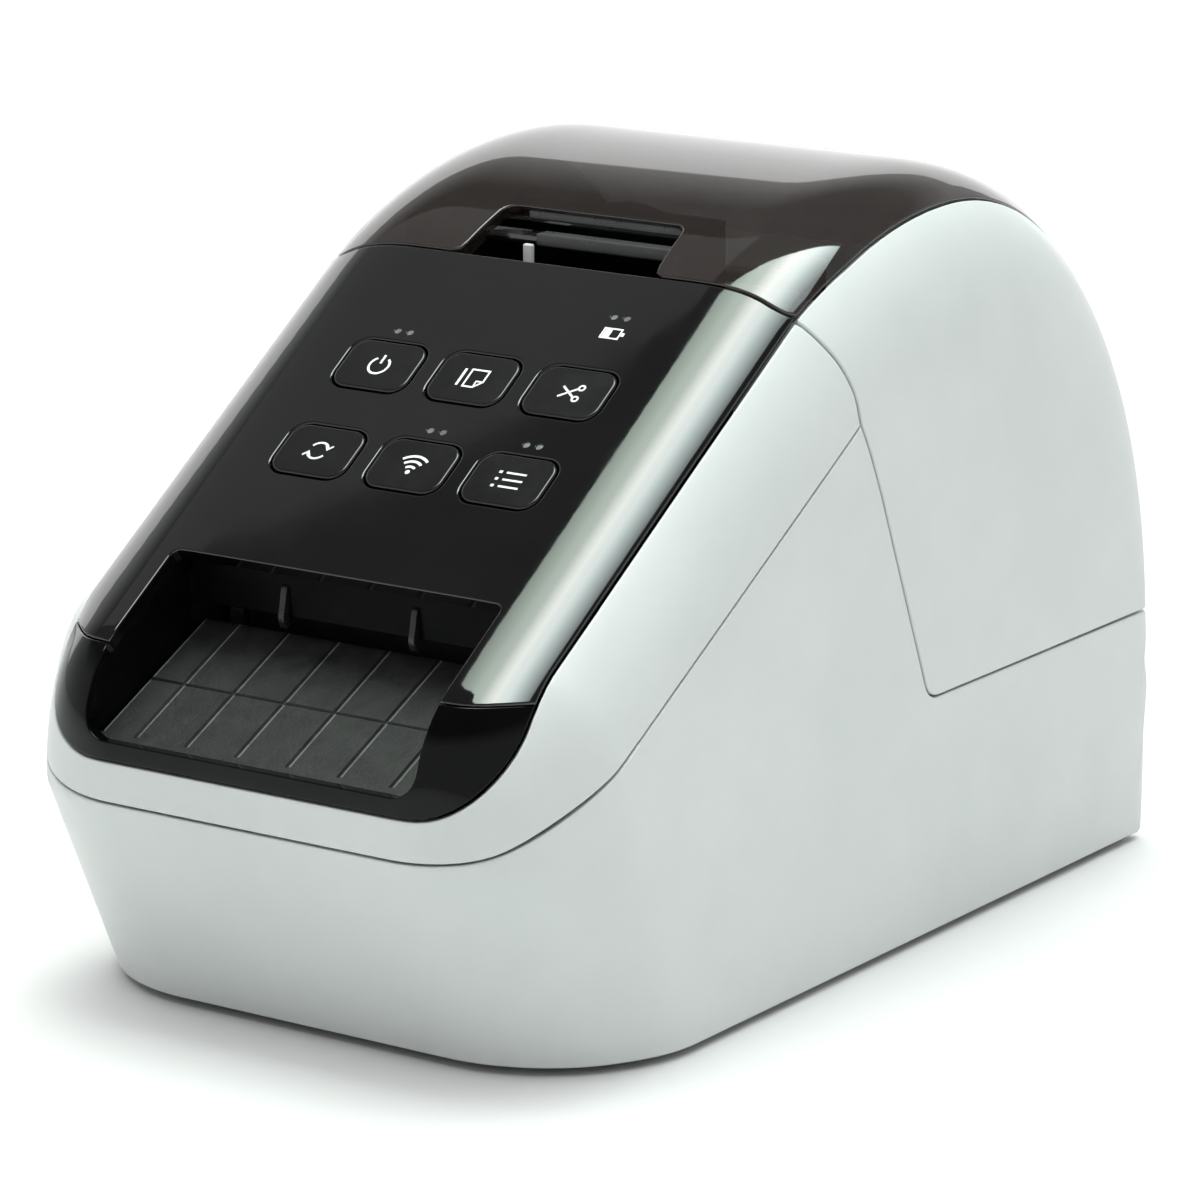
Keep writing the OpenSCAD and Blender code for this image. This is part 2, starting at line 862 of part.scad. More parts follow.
switch_top = key_lift - key_body - key_travel - 0.2;
switch_h = 1.2;
key_board_t = 1;
module key_board() {
    color(board_green)
    on_panel(0, 40.5, switch_top - switch_h - key_board_t)
        rounded_block(66, 58, key_board_t, 2);
}

module key_switches() {
    color("silver")
    for (i = [0:5])
        on_panel(key_x(i), key_s(i), switch_top - switch_h) {
            translate([-3, -3, 0])
                cube([6, 6, switch_h - 0.4]);
            cylinder(r = 1.6, h = switch_h, $fn = 32);
        }
}

module lamp_lenses() {
    color([0.75, 0.8, 0.75])
    for (p = lamp_spots, side = [-0.5, 0.5])
        on_panel(p[0] + side * lamp_gap, p[1], -2.4)
            cylinder(r = lamp_r, h = 2.2, $fn = 24);
}

module label_roll() {
    color("white")
    translate([0, roll_y, roll_z])
        tube(-label_w / 2, label_w / 2, roll_r, core_r_in + core_t);
}

module roll_core() {
    color([0.6, 0.5, 0.38])
    translate([0, roll_y, roll_z])
        tube(-label_w / 2, label_w / 2, core_r_in + core_t, core_r_in);
}

module roll_flange(side)
    color([0.1, 0.1, 0.1])
    translate([0, roll_y, roll_z])
        mirror([side > 0 ? 0 : 1, 0, 0])
            difference() {
                union() {
                    rod(flange_x, flange_x + flange_t, flange_r);
                    rod(flange_x - 10, flange_x, hub_r);
                    rod(flange_x + flange_t, bay_half - 0.4, stub_r);
                }
                // sight windows in the flange
                for (a = [30:60:330])
                    rotate([a, 0, 0])
                        translate([0, 26, 0])
                            rod(flange_x - 1, flange_x + flange_t + 1, 6);
                rod(flange_x - 12, flange_x - 2, hub_r - 2);
            }

module left_roll_flange() { roll_flange(-1); }
module right_roll_flange() { roll_flange(1); }

module main_board() {
    color(board_green)
    difference() {
        translate([-40, 4, board_z])
            cube([80, 92, board_t]);
        for (x = [-36, 36], y = [8, 60])
            translate([x, y, board_z - 1])
                cylinder(r = 1.4, h = 4, $fn = 24);
    }
}

module board_parts() {
    top = board_z + board_t;
    color([0.15, 0.15, 0.16]) {
        translate([-12, 30, top])
            cube([20, 20, 1.6]);
        translate([16, 36, top])
            cube([10, 14, 1.4]);
        translate([-30, 40, top])
            cube([8, 6, 1.2]);
    }
    color([0.15, 0.2, 0.4])
    for (p = [[-28, 66], [-18, 66], [26, 66]])
        translate([p[0], p[1], top])
            cylinder(r = 4, h = 11, $fn = 32);
    color("ivory")
    for (x = [-30, -12, 6])
        translate([x, 12, top])
            cube([14, 5, 5]);
}

module board_screws() {
    color(steel)
    for (x = [-36, 36], y = [8, 60])
        translate([x, y, 4.1]) {
            cylinder(r = 1.3, h = board_z + board_t - 4.1, $fn = 24);
            translate([0, 0, board_z + board_t - 4.1])
                cylinder(r = 2.6, h = 1.4, $fn = 32);
        }
}

module wireless_module() {
    color([0.12, 0.3, 0.5])
    translate([22, 14, board_z + board_t])
        cube([14, 18, 1]);
    color("silver")
    translate([23, 15, board_z + board_t + 1])
        cube([12, 12, 1.8]);
}

module power_inlet() {
    color([0.08, 0.08, 0.08])
    difference() {
        union() {
            translate([inlet_x - 7, 90, board_z + board_t])
                cube([14, 12.8, 14]);
            translate([inlet_x, 102.8, socket_z])
                rotate([-90, 0, 0])
                    cylinder(r = 5.2, h = 2.8, $fn = 48);
        }
        translate([inlet_x, 95, socket_z])
            rotate([-90, 0, 0])
                cylinder(r = 2.85, h = 20, $fn = 48);
    }
    color(steel)
    translate([inlet_x, 93, socket_z])
        rotate([-90, 0, 0])
            cylinder(r = 1.05, h = 10, $fn = 32);
}

module usb_socket() {
    color("silver")
    difference() {
        union() {
            translate([usb_x - 6, 90, socket_z - 5.4])
                cube([12, 15.6, 10.8]);
            translate([usb_x - 6, 90, board_z + board_t])
                cube([12, 12, 4]);
        }
        translate([usb_x - 4.2, 96, socket_z - 3.9])
            cube([8.4, 20, 7.8]);
    }
    color("ivory")
    translate([usb_x - 2.8, 95, socket_z - 1.6])
        cube([5.6, 4.4, 3.2]);
}

module window_block(shrink)
    translate([-black_half + shrink, -far, window_rear_z + shrink])
        cube([2 * (black_half - shrink), 2 * far, far]);

module cover_shell() {
    color(white)
    difference() {
        intersection() {
            shell();
            region(cover_region());
        }
        window_block(0);
        // clear the swing of the rear lower edge
        translate([-far, hinge_y - trough_r - 1, 0])
            cube([2 * far, far, hinge_z + trough_r]);
    }
}

module cover_window() {
    color(smoked)
    difference() {
        intersection() {
            shell();
            region(cover_region());
            window_block(0.25);
        }
        // finger notch in the front edge
        translate([-notch_half, -far, 0])
            cube([2 * notch_half, far + notch_back, far]);
    }
}

// Pocket with a bar for the fingers, hung under the notch
module cover_grip() {
    pocket_low = 114;
    floor_t = 2;
    side_t = 1;
    under = 3;
    bar_y = -2.1;
    bar_z = 131;
    bar_w = 3;
    bar_h = 2;
    bar_slant = 0.5;
    back = notch_back + 8;
    back_wall = notch_back + 2;
    front = cover_gap_y + 0.6;
    color([0.06, 0.06, 0.06]) {
        // floor and back of the pocket
        across([[front, pocket_low], [back, pocket_low + 4], [back, crown_z(back) - under],
            [back_wall, crown_z(back_wall) - under], [back_wall, pocket_low + 3 + floor_t],
            [front, pocket_low + floor_t]], notch_half + side_t);
        for (side = [-1, 1])
            translate([side * (notch_half + side_t), 0, 0])
                across([[front, pocket_low], [back, pocket_low + 4], [back, crown_z(back) - under],
                    [front, crown_z(front) - under]], side_t);
        // grip bar across the pocket
        across([[bar_y - bar_w / 2, bar_z - bar_h / 2], [bar_y + bar_w / 2, bar_z - bar_h / 2],
            [bar_y + bar_w / 2, bar_z + bar_h / 2], [bar_y - bar_w / 2, bar_z + bar_h / 2 - bar_slant]],
            notch_half + side_t);
        // ears with screw bosses that reach up to the window
        for (side = [-1, 1])
            translate([side * cover_screw_x, cover_screw_y, ear_z])
                difference() {
                    union() {
                        cylinder(r = ear_boss_r, h = ear_top - ear_z, $fn = 32);
                        translate([side > 0 ? notch_half - cover_screw_x : 0, -ear_boss_r, 0])
                            cube([cover_screw_x - notch_half, 2 * ear_boss_r, 2]);
                    }
                    translate([0, 0, -1])
                        cylinder(r = 1.2, h = ear_top - ear_z - 1, $fn = 32);
                }
    }
}

module cover_screws() {
    color(steel)
    for (x = [-cover_screw_x, cover_screw_x])
        translate([x, cover_screw_y, ear_z - 1.6]) {
            cylinder(r = 2.4, h = 1.6, $fn = 32);
            cylinder(r = 1.2, h = ear_top - ear_z - 0.7, $fn = 32);
        }
}

// Round bead along the cover's rear edge, bored for the hinge pins
module cover_hinge_bar() {
    bead_half = half_w - 5;
    bracket_out = bracket_in + bracket_w + side_play;
    color(white)
    difference() {
        union() {
            translate([0, hinge_y, hinge_z]) {
                rod(-bead_half, -bracket_out, bead_r);
                rod(-bracket_in + side_play, bracket_in - side_play, bead_r);
                rod(bracket_out, bead_half, bead_r);
            }
            // web up to the rear wall of the cover
            translate([-bead_half + 8, hinge_y - bead_r - 0.6, hinge_z])
                cube([2 * bead_half - 16, 0.9, 4.8]);
        }
        for (side = [-1, 1]) {
            translate([0, hinge_y, hinge_z])
                rod(side * 44 - 11, side * 44 + 11, hinge_pin_r + run_gap);
            translate([bracket_x(side) - side_play, hinge_y - 4, hinge_z - 4])
                cube([bracket_w + 2 * side_play, 8, 7]);
        }
    }
}

module hinge_brackets() {
    color(white)
    for (side = [-1, 1])
        translate([side * (bracket_in + bracket_w / 2), 0, 0])
            difference() {
                union() {
                    translate([0, hinge_y, hinge_z])
                        rod(-bracket_w / 2, bracket_w / 2, bead_r);
                    translate([-bracket_w / 2, hinge_y - bead_r, bracket_z])
                        cube([bracket_w, 2 * bead_r, hinge_z - bracket_z]);
                }
                translate([0, hinge_y, hinge_z])
                    rod(-20, 20, hinge_pin_r);
            }
}

module hinge_pins() {
    color(steel)
    for (side = [-1, 1])
        translate([0, hinge_y, hinge_z])
            rod(side * 44 - 10, side * 44 + 10, hinge_pin_r);
}

module cover_switch() {
    color([0.1, 0.1, 0.1])
    translate([bay_half + 0.1, 60, 68]) {
        cube([5, 12, 8]);
        translate([1.5, 4, 8])
            cube([2, 3, 2.4]);
    }
}

base_housing();
bottom_plate();
rubber_feet();
case_screws();
front_frame();
control_panel();
front_bezel();
output_tray();
exit_guides();
roll_bay();
left_side_plate();
right_side_plate();
platen_bushes();
platen_roller();
platen_shaft();
platen_gear();
idler_gear();
idler_shaft();
motor_pinion();
feed_motor();
print_head();
head_heatsink();
head_carrier();
head_pivot_shaft();
head_springs();
spring_bridge();
fixed_blade();
cutter_bar();
cutter_blade();
cutter_pinion();
cutter_motor();
power_key();
feed_key();
cut_key();
setup_key();
wireless_key();
mode_key();
key_board();
key_switches();
lamp_lenses();
label_roll();
roll_core();
left_roll_flange();
right_roll_flange();
main_board();
board_parts();
board_screws();
wireless_module();
power_inlet();
usb_socket();
cover_shell();
cover_window();
cover_grip();
cover_screws();
cover_hinge_bar();
hinge_brackets();
hinge_pins();
cover_switch();
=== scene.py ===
"""Looks of a desktop label maker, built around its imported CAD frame.

Lengths in the tables and functions are millimetres; meshes are made in metres. The front faces -Y.
The casing's outside is one surface: a side profile that is carried across the body and dropped at the
shoulders. Every shell is a trimmed patch of it, with its own thickness and rounded edges.
"""

import math

import bmesh
import bpy
import numpy as np
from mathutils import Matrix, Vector
from mathutils.geometry import delaunay_2d_cdt


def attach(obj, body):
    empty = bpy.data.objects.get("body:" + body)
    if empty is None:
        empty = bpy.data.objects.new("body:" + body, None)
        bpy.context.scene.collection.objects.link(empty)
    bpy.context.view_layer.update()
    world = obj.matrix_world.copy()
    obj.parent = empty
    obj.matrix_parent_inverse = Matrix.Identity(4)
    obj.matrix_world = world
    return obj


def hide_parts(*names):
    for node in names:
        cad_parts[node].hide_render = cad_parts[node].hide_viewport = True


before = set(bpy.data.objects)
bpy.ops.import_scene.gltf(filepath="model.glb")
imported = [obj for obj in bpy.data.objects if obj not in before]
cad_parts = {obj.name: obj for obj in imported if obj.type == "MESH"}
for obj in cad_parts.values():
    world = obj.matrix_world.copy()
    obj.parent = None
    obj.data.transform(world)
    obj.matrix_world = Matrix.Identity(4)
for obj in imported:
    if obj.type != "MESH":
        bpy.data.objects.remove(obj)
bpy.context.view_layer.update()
MM = 0.001
ROOT, COVER = "root", "cover"

# ---------------------------------------------------------------- casing dimensions
BODY_H, HALF_W = 144.3, 62.65
FRONT_Y, REAR_Y = -107.0, 107.0
# The straight slope of the side profile runs up from the nose, past the label slot, to the crest
SLOPE = math.radians(34)
SLOT_Y, SLOT_Z = -80.0, 83.4
CREST_START = -15.0
REAR_R, REAR_LEAN = 62.0, math.radians(5)
NOSE_R = 25.0
# Across: level for CROWN_HALF, then a superellipse shoulder of this width, drop and power
CROWN_HALF, SHOULDER_W, SHOULDER_DROP, POWER = 28.0, 34.65, 56.0, 3.3
# From above: corner radii; below BASE_FRONT_Z the front steps back by TOE and the sides by DRAFT
CORNER_R, REAR_CORNER_R = 32.0, 4.0
BASE_FRONT_Z, BASE_LOW_Z, COVER_Z = 42.4, 1.5, 48.0
TOE, DRAFT = 18.5, 1.0
CORNER_BLEND = 13.0
WALL, GAP = 2.4, 0.2


def unit(vectors):
    """Each row at length one."""
    return vectors / np.maximum(np.linalg.norm(vectors, axis=1)[:, None], 1e-9)


def slope_z(y):
    return SLOT_Z + math.tan(SLOPE) * (y - SLOT_Y)


CREST_R = (BODY_H - slope_z(CREST_START)) / (1 - math.cos(SLOPE))
CREST_Y = CREST_START + CREST_R * math.sin(SLOPE)
NOSE_Y = FRONT_Y + NOSE_R
NOSE_Z = slope_z(NOSE_Y) - NOSE_R / math.cos(SLOPE)
NOSE_END = NOSE_Y - NOSE_R * math.sin(SLOPE)
REAR_END_Y = CREST_Y + REAR_R * math.cos(REAR_LEAN)
REAR_END_Z = BODY_H - REAR_R + REAR_R * math.sin(REAR_LEAN)


def crown(y):
    """Height of the middle of the casing at y."""
    y = np.clip(np.asarray(y, float), FRONT_Y, None)
    nose = NOSE_Z + np.sqrt(np.clip(NOSE_R ** 2 - (y - NOSE_Y) ** 2, 0, None))
    line = slope_z(y)
    crest = BODY_H - CREST_R + np.sqrt(np.clip(CREST_R ** 2 - (CREST_Y - y) ** 2, 0, None))
    rear = BODY_H - REAR_R + np.sqrt(np.clip(REAR_R ** 2 - (y - CREST_Y) ** 2, 0, None))
    wall = REAR_END_Z - (y - REAR_END_Y) / math.tan(REAR_LEAN)
    return np.select([y < NOSE_END, y < CREST_START, y < CREST_Y, y < REAR_END_Y],
                     [nose, line, crest, rear], wall)


# Across the body: arc length s, with x, drop and outward normal at each s
_turn = np.radians(np.linspace(0, 90, 3000))
_q, _w = np.sin(_turn) ** (2 / POWER), np.cos(_turn) ** (2 / POWER)
_x = np.concatenate([[0], CROWN_HALF + SHOULDER_W * _q, [HALF_W]])
_drop = np.concatenate([[0], SHOULDER_DROP * (1 - _w), [SHOULDER_DROP + 150]])
_nx = np.concatenate([[0], _q ** (POWER - 1) / SHOULDER_W, [1]])
_nz = np.concatenate([[1], _w ** (POWER - 1) / SHOULDER_DROP, [0]])
_s = np.concatenate([[0], np.cumsum(np.hypot(np.diff(_x), np.diff(_drop)))])


def s_of_x(x):
    return float(np.interp(abs(x), _x, _s)) * (1 if x >= 0 else -1)


def s_of_drop(drop):
    return np.interp(drop, _drop, _s)


# Along the body: arc length v from the start of the crest
V_CREST = CREST_R * SLOPE
V_REAR = V_CREST + REAR_R * (math.pi / 2 - REAR_LEAN)


def v_of_y(y):
    if y < CREST_START:
        return (y - CREST_START) / math.cos(SLOPE)
    if y < CREST_Y:
        return CREST_R * (SLOPE - math.asin((CREST_Y - y) / CREST_R))
    if y < REAR_END_Y:
        return V_CREST + REAR_R * math.asin((y - CREST_Y) / REAR_R)
    return V_REAR + (y - REAR_END_Y) / math.sin(REAR_LEAN)


def profile(v):
    """Point (y, z) and tangent of the side profile at v."""
    a = SLOPE - v / CREST_R
    b = (v - V_CREST) / REAR_R
    c = v - V_REAR
    line = (CREST_START + v * math.cos(SLOPE), slope_z(CREST_START) + v * math.sin(SLOPE),
            math.cos(SLOPE) + 0 * v, math.sin(SLOPE) + 0 * v)
    crest = (CREST_Y - CREST_R * np.sin(a), BODY_H - CREST_R + CREST_R * np.cos(a), np.cos(a), np.sin(a))
    rear = (CREST_Y + REAR_R * np.sin(b), BODY_H - REAR_R + REAR_R * np.cos(b), np.cos(b), -np.sin(b))
    wall = (REAR_END_Y + c * math.sin(REAR_LEAN), REAR_END_Z - c * math.cos(REAR_LEAN),
            math.sin(REAR_LEAN) + 0 * v, -math.cos(REAR_LEAN) + 0 * v)
    pick = [v < 0, v < V_CREST, v < V_REAR]
    return [np.select(pick, [line[i], crest[i], rear[i]], wall[i]) for i in range(4)]


def on_top(uv):
    """Points and normals of the cover at (s, v)."""
    s, v = uv[:, 0], uv[:, 1]
    side = np.where(s < 0, -1.0, 1.0)
    y, z, ty, tz = profile(v)
    x, drop = np.interp(abs(s), _s, _x), np.interp(abs(s), _s, _drop)
    nx, nz = np.interp(abs(s), _s, _nx), np.interp(abs(s), _s, _nz)
    p = np.stack([side * x, y, z - drop], 1)
    return p, unit(np.stack([side * nx * ty, -nz * tz, nz * ty], 1))


def above(p):
    """Above zero over the crown and shoulders."""
    q = np.clip((abs(p[:, 0]) - CROWN_HALF) / SHOULDER_W, 0, None)
    w = np.clip(1 - (crown(p[:, 1]) - p[:, 2]) / SHOULDER_DROP, 0, None)
    return 45 * ((q ** POWER + w ** POWER) ** (1 / POWER) - 1)


def outside(p):
    """Above zero outside the casing, with the front corners blended."""
    x, y, z = abs(p[:, 0]), p[:, 1], p[:, 2]
    top = above(p)
    low = np.clip((BASE_FRONT_Z - z) / (BASE_FRONT_Z - BASE_LOW_Z), 0, 1.2)
    half, front = HALF_W - DRAFT * low, FRONT_Y + TOE * low
    cx, cy = x - (half - CORNER_R), (front + CORNER_R) - y
    corner = np.hypot(np.clip(cx, 0, None), np.clip(cy, 0, None)) - CORNER_R
    plan = np.where(cy < 0, x - half, np.where(cx < 0, front - y, corner))
    rx, ry = x - (half - REAR_CORNER_R), y - (REAR_Y - REAR_CORNER_R)
    back = np.where((rx > 0) & (ry > 0), np.hypot(rx, ry) - REAR_CORNER_R, y - REAR_Y)
    plan = np.maximum(plan, back)
    turn = np.arctan2(np.clip(cy, 0, None), np.clip(cx, 1e-6, None))
    blend = CORNER_BLEND * np.sin(2 * turn) ** 2 + 0.01
    return np.maximum(top, plan) + np.clip(blend - abs(top - plan), 0, None) ** 2 / (4 * blend)


def normals_at(p, field=outside, h=0.02):
    return unit(np.stack([field(p + d) - field(p - d) for d in np.eye(3) * h], 1))


def cast(origin, direction, reach=70.0):
    """Where a ray from inside the casing meets its outer surface."""
    lo, hi = np.zeros(len(origin)), np.full(len(origin), reach)
    for _ in range(38):
        mid = (lo + hi) / 2
        out = outside(origin + direction * mid[:, None]) > 0
        lo, hi = np.where(out, lo, mid), np.where(out, mid, hi)
    return origin + direction * lo[:, None]


# The outline of the casing from above, by its length p from the middle of the front
P_FRONT = HALF_W - CORNER_R
P_SIDE = P_FRONT + CORNER_R * math.pi / 2
P_BACK = P_SIDE + (REAR_Y - REAR_CORNER_R) - (FRONT_Y + CORNER_R)
P_REAR = P_BACK + REAR_CORNER_R * math.pi / 2
P_END = P_REAR + HALF_W - REAR_CORNER_R


def plan_at(p):
    """Point (x, y) and outward normal of the outline at p."""
    side, p = np.where(p < 0, -1.0, 1.0), abs(p)
    a = (p - P_FRONT) / CORNER_R
    b = (p - P_BACK) / REAR_CORNER_R
    cx, cy = HALF_W - REAR_CORNER_R, REAR_Y - REAR_CORNER_R
    parts = [(p, FRONT_Y + 0 * p, 0 * p, -1 + 0 * p),
             (P_FRONT + CORNER_R * np.sin(a), FRONT_Y + CORNER_R - CORNER_R * np.cos(a), np.sin(a),
              -np.cos(a)),
             (HALF_W + 0 * p, FRONT_Y + CORNER_R + p - P_SIDE, 1 + 0 * p, 0 * p),
             (cx + REAR_CORNER_R * np.cos(b), cy + REAR_CORNER_R * np.sin(b), np.cos(b), np.sin(b)),
             (cx - (p - P_REAR), REAR_Y + 0 * p, 0 * p, 1 + 0 * p)]
    pick = [p < P_FRONT, p < P_SIDE, p < P_BACK, p < P_REAR]
    x, y, nx, ny = [np.select(pick, [parts[k][i] for k in range(4)], parts[4][i]) for i in range(4)]
    return side * x, y, side * nx, ny


def p_of_y(y):
    """Place on the right side wall, or on the front corner, at y."""
    if y > FRONT_Y + CORNER_R:
        return P_SIDE + y - (FRONT_Y + CORNER_R)
    return P_FRONT + CORNER_R * math.acos(min(1, (FRONT_Y + CORNER_R - y) / CORNER_R))


# A ledge runs across the rear wall: below it the wall steps in
LEDGE_Z, LEDGE_STEP, LEDGE_H = 33.0, 1.2, 0.8
BASE_DEPTH = 30.0


def on_base(uv):
    """Points of the lower housing at (p, z)."""
    x, y, nx, ny = plan_at(uv[:, 0])
    origin = np.stack([x - nx * BASE_DEPTH, y - ny * BASE_DEPTH, uv[:, 1]], 1)
    p = cast(origin, np.stack([nx, ny, 0 * nx], 1))
    n = normals_at(p)
    step = np.clip((LEDGE_Z - uv[:, 1]) / LEDGE_H, 0, 1) * (y > REAR_Y - 0.5)
    p[:, 1] -= LEDGE_STEP * step
    return p, n


# The fan's centre line lies FAN_R inside the walls and FAN_DROP under the crown
FAN_R, FAN_DROP = 26.0, 35
PANEL_DEPTH, NOSE_DEPTH = 45, -60.0


def on_frame(uv):
    """Points of the front frame at (p, turn * FAN_R): rays that fan out from a line inside it."""
    x, y, nx, ny = plan_at(uv[:, 0])
    turn = uv[:, 1] / FAN_R
    height = np.maximum(NOSE_Z, crown(y) - FAN_DROP)
    origin = np.stack([x - nx * FAN_R, y - ny * FAN_R, height], 1)
    direction = np.stack([nx * np.cos(turn), ny * np.cos(turn), np.sin(turn)], 1)
    p = cast(origin, direction, 90.0)
    return p, normals_at(p)


def on_panel_top(uv):
    """Points straight above (x, y)."""
    origin = np.stack([uv[:, 0], uv[:, 1], crown(uv[:, 1]) - PANEL_DEPTH], 1)
    p = cast(origin, np.tile([0.0, 0.0, 1.0], (len(uv), 1)))
    return p, normals_at(p, above)


def on_nose(uv):
    """Points straight ahead of (x, z)."""
    origin = np.stack([uv[:, 0], np.full(len(uv), NOSE_DEPTH), uv[:, 1]], 1)
    p = cast(origin, np.tile([0.0, -1.0, 0.0], (len(uv), 1)))
    return p, normals_at(p)


# ---------------------------------------------------------------- parting lines, as (y, z)
APEX = (-3.8, 104.5)
FRAME_DEG, FRAME_LINE_R = 31.5, 20.0
COVER_CORNER, COVER_CORNER_R, COVER_FRONT_DEG = 19.7, 5.0, 112.5
COVER_GAP_Y = -12.5
BLACK_Z, BLACK_R = 50.5, 16.0
# (y, half width) of the black top
BLACK_EDGE = [(-107, 51.2), (-90, 51.1), (-70, 51.3), (-44, 51.6), (-25, 51.9), (-10, 52.1), (5, 52.8),
              (110, 52.8)]
WINDOW_REAR_Z = 60.0
SEAM_Z, SEAM_GAP = 70.0, 0.08
NOTCH_HALF, NOTCH_BACK = 21.5, 1.2


def black_half(y):
    """Half width of the black top at y."""
    return np.interp(y, *zip(*BLACK_EDGE))


def arc(cx, cy, r, a0, a1, n):
    a = np.radians(np.linspace(a0, a1, n + 1))
    return [(cx + r * math.cos(t), cy + r * math.sin(t)) for t in a]


_front_corner = APEX[0] - (APEX[1] - BASE_FRONT_Z) / math.tan(math.radians(FRAME_DEG))
_line_start = _front_corner - FRAME_LINE_R * math.tan(math.radians(FRAME_DEG / 2))
FRAME_LINE = arc(_line_start, BASE_FRONT_Z + FRAME_LINE_R, FRAME_LINE_R, 270, 270 + FRAME_DEG, 10) + [APEX]
COVER_FRONT = [APEX, (APEX[0] - 0.8, APEX[1] + 5.5), (APEX[0] - 3.1, APEX[1] + 11.3),
               (APEX[0] - 5.8, APEX[1] + 16), (COVER_GAP_Y, APEX[1] + 21.5)]
_edge_start = COVER_CORNER + COVER_CORNER_R / math.tan(math.radians(COVER_FRONT_DEG / 2))
COVER_EDGE = arc(_edge_start, COVER_Z + COVER_CORNER_R, COVER_CORNER_R, 270, COVER_FRONT_DEG + 90, 8)


def smooth_line(points, steps=8):
    """A smooth line through points (Catmull-Rom)."""
    pts = [np.array(p, float) for p in [points[0]] + list(points) + [points[-1]]]
    out = []
    for i in range(1, len(pts) - 2):
        a, b, c, d = pts[i - 1], pts[i], pts[i + 1], pts[i + 2]
        for k in range(steps):
            t = k / steps
            out.append(0.5 * (2 * b + (c - a) * t + (2 * a - 5 * b + 4 * c - d) * t ** 2
                              + (3 * b - a - 3 * c + d) * t ** 3))
    return [tuple(p) for p in out] + [tuple(pts[-2])]


GAP_LINE = smooth_line(COVER_FRONT)
_gap = np.array(GAP_LINE)


def gap_y(z):
    """Front edge of the cover at height z."""
    return np.interp(z, _gap[:, 1], _gap[:, 0])


def frame_line_z(y):
    line = np.array(FRAME_LINE)
    return np.interp(y, line[:, 0], line[:, 1])


def side_line_z(y):
    """Upper edge of the lower housing at y, along its side."""
    edge = np.array(COVER_EDGE[::-1])
    ys = np.concatenate([[APEX[0]], edge[:, 0]])
    zs = np.concatenate([[APEX[1]], edge[:, 1]])
    return np.where(np.asarray(y) < APEX[0], frame_line_z(y), np.interp(y, ys, zs))


def mirrored(half):
    """The left half of an outline, from its right half in reverse."""
    return [(-x, y) for x, y in half[::-1]]


# ---------------------------------------------------------------- mesh builders
def resample(loop, step):
    """The closed loop with extra points, so that none lie further apart than step."""
    out = []
    for i, a in enumerate(loop):
        b = loop[(i + 1) % len(loop)]
        n = max(1, math.ceil(math.dist(a, b) / step))
        out += [(a[0] + (b[0] - a[0]) * k / n, a[1] + (b[1] - a[1]) * k / n) for k in range(n)]
    keep = [p for i, p in enumerate(out) if math.dist(p, out[i - 1]) > 0.05]
    return np.array(keep)


def signed_area(loop):
    x, y = loop[:, 0], loop[:, 1]
    return 0.5 * float(np.sum(x * np.roll(y, -1) - np.roll(x, -1) * y))


def inset(loop, d):
    """The loop moved by d to its left, which is inwards for a counterclockwise outline."""
    back, ahead = unit(loop - np.roll(loop, 1, 0)), unit(np.roll(loop, -1, 0) - loop)
    n = unit(np.stack([-(back + ahead)[:, 1], (back + ahead)[:, 0]], 1))
    side = np.stack([-back[:, 1], back[:, 0]], 1)
    return loop + n * (d / np.maximum((n * side).sum(1), 0.5))[:, None]


def inside_loops(points, loops):
    """Whether each point lies inside an odd number of the loops."""
    hit = np.zeros(len(points), bool)
    for loop in loops:
        x0, y0 = loop[:, 0], loop[:, 1]
        x1, y1 = np.roll(x0, -1), np.roll(y0, -1)
        for i in range(0, len(points), 2000):
            px, py = points[i:i + 2000, 0:1], points[i:i + 2000, 1:2]
            cross = (y0 > py) != (y1 > py)
            with np.errstate(divide="ignore", invalid="ignore"):
                at = x0 + (py - y0) * (x1 - x0) / (y1 - y0)
            hit[i:i + 2000] ^= (np.sum(cross & (px < at), 1) % 2).astype(bool)
    return hit


def far_from(points, loops, d):
    """Whether each point is further than d from every point of the loops."""
    ok = np.ones(len(points), bool)
    for loop in loops:
        for i in range(0, len(points), 1000):
            gap = points[i:i + 1000, None, :] - loop[None, :, :]
            ok[i:i + 1000] &= np.min((gap ** 2).sum(2), 1) > d * d
    return ok


def add_object(name, mesh, materials, body):
    """Puts the mesh in the scene, with its materials, on its body."""
    for m in materials:
        mesh.materials.append(m)
    obj = bpy.data.objects.new(name, mesh)
    bpy.context.scene.collection.objects.link(obj)
    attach(obj, body)
    return obj


def make_object(name, verts, faces, materials, body, normals=None, slots=None, smooth=True):
    mesh = bpy.data.meshes.new(name)
    mesh.from_pydata([tuple(v) for v in verts], [], [tuple(f) for f in faces])
    obj = add_object(name, mesh, materials, body)
    if slots is not None:
        mesh.polygons.foreach_set("material_index", np.array(slots, np.int32))
    mesh.polygons.foreach_set("use_smooth", np.full(len(mesh.polygons), smooth))
    mesh.update()
    if normals is not None:
        mesh.normals_split_custom_set(normals)
    return obj


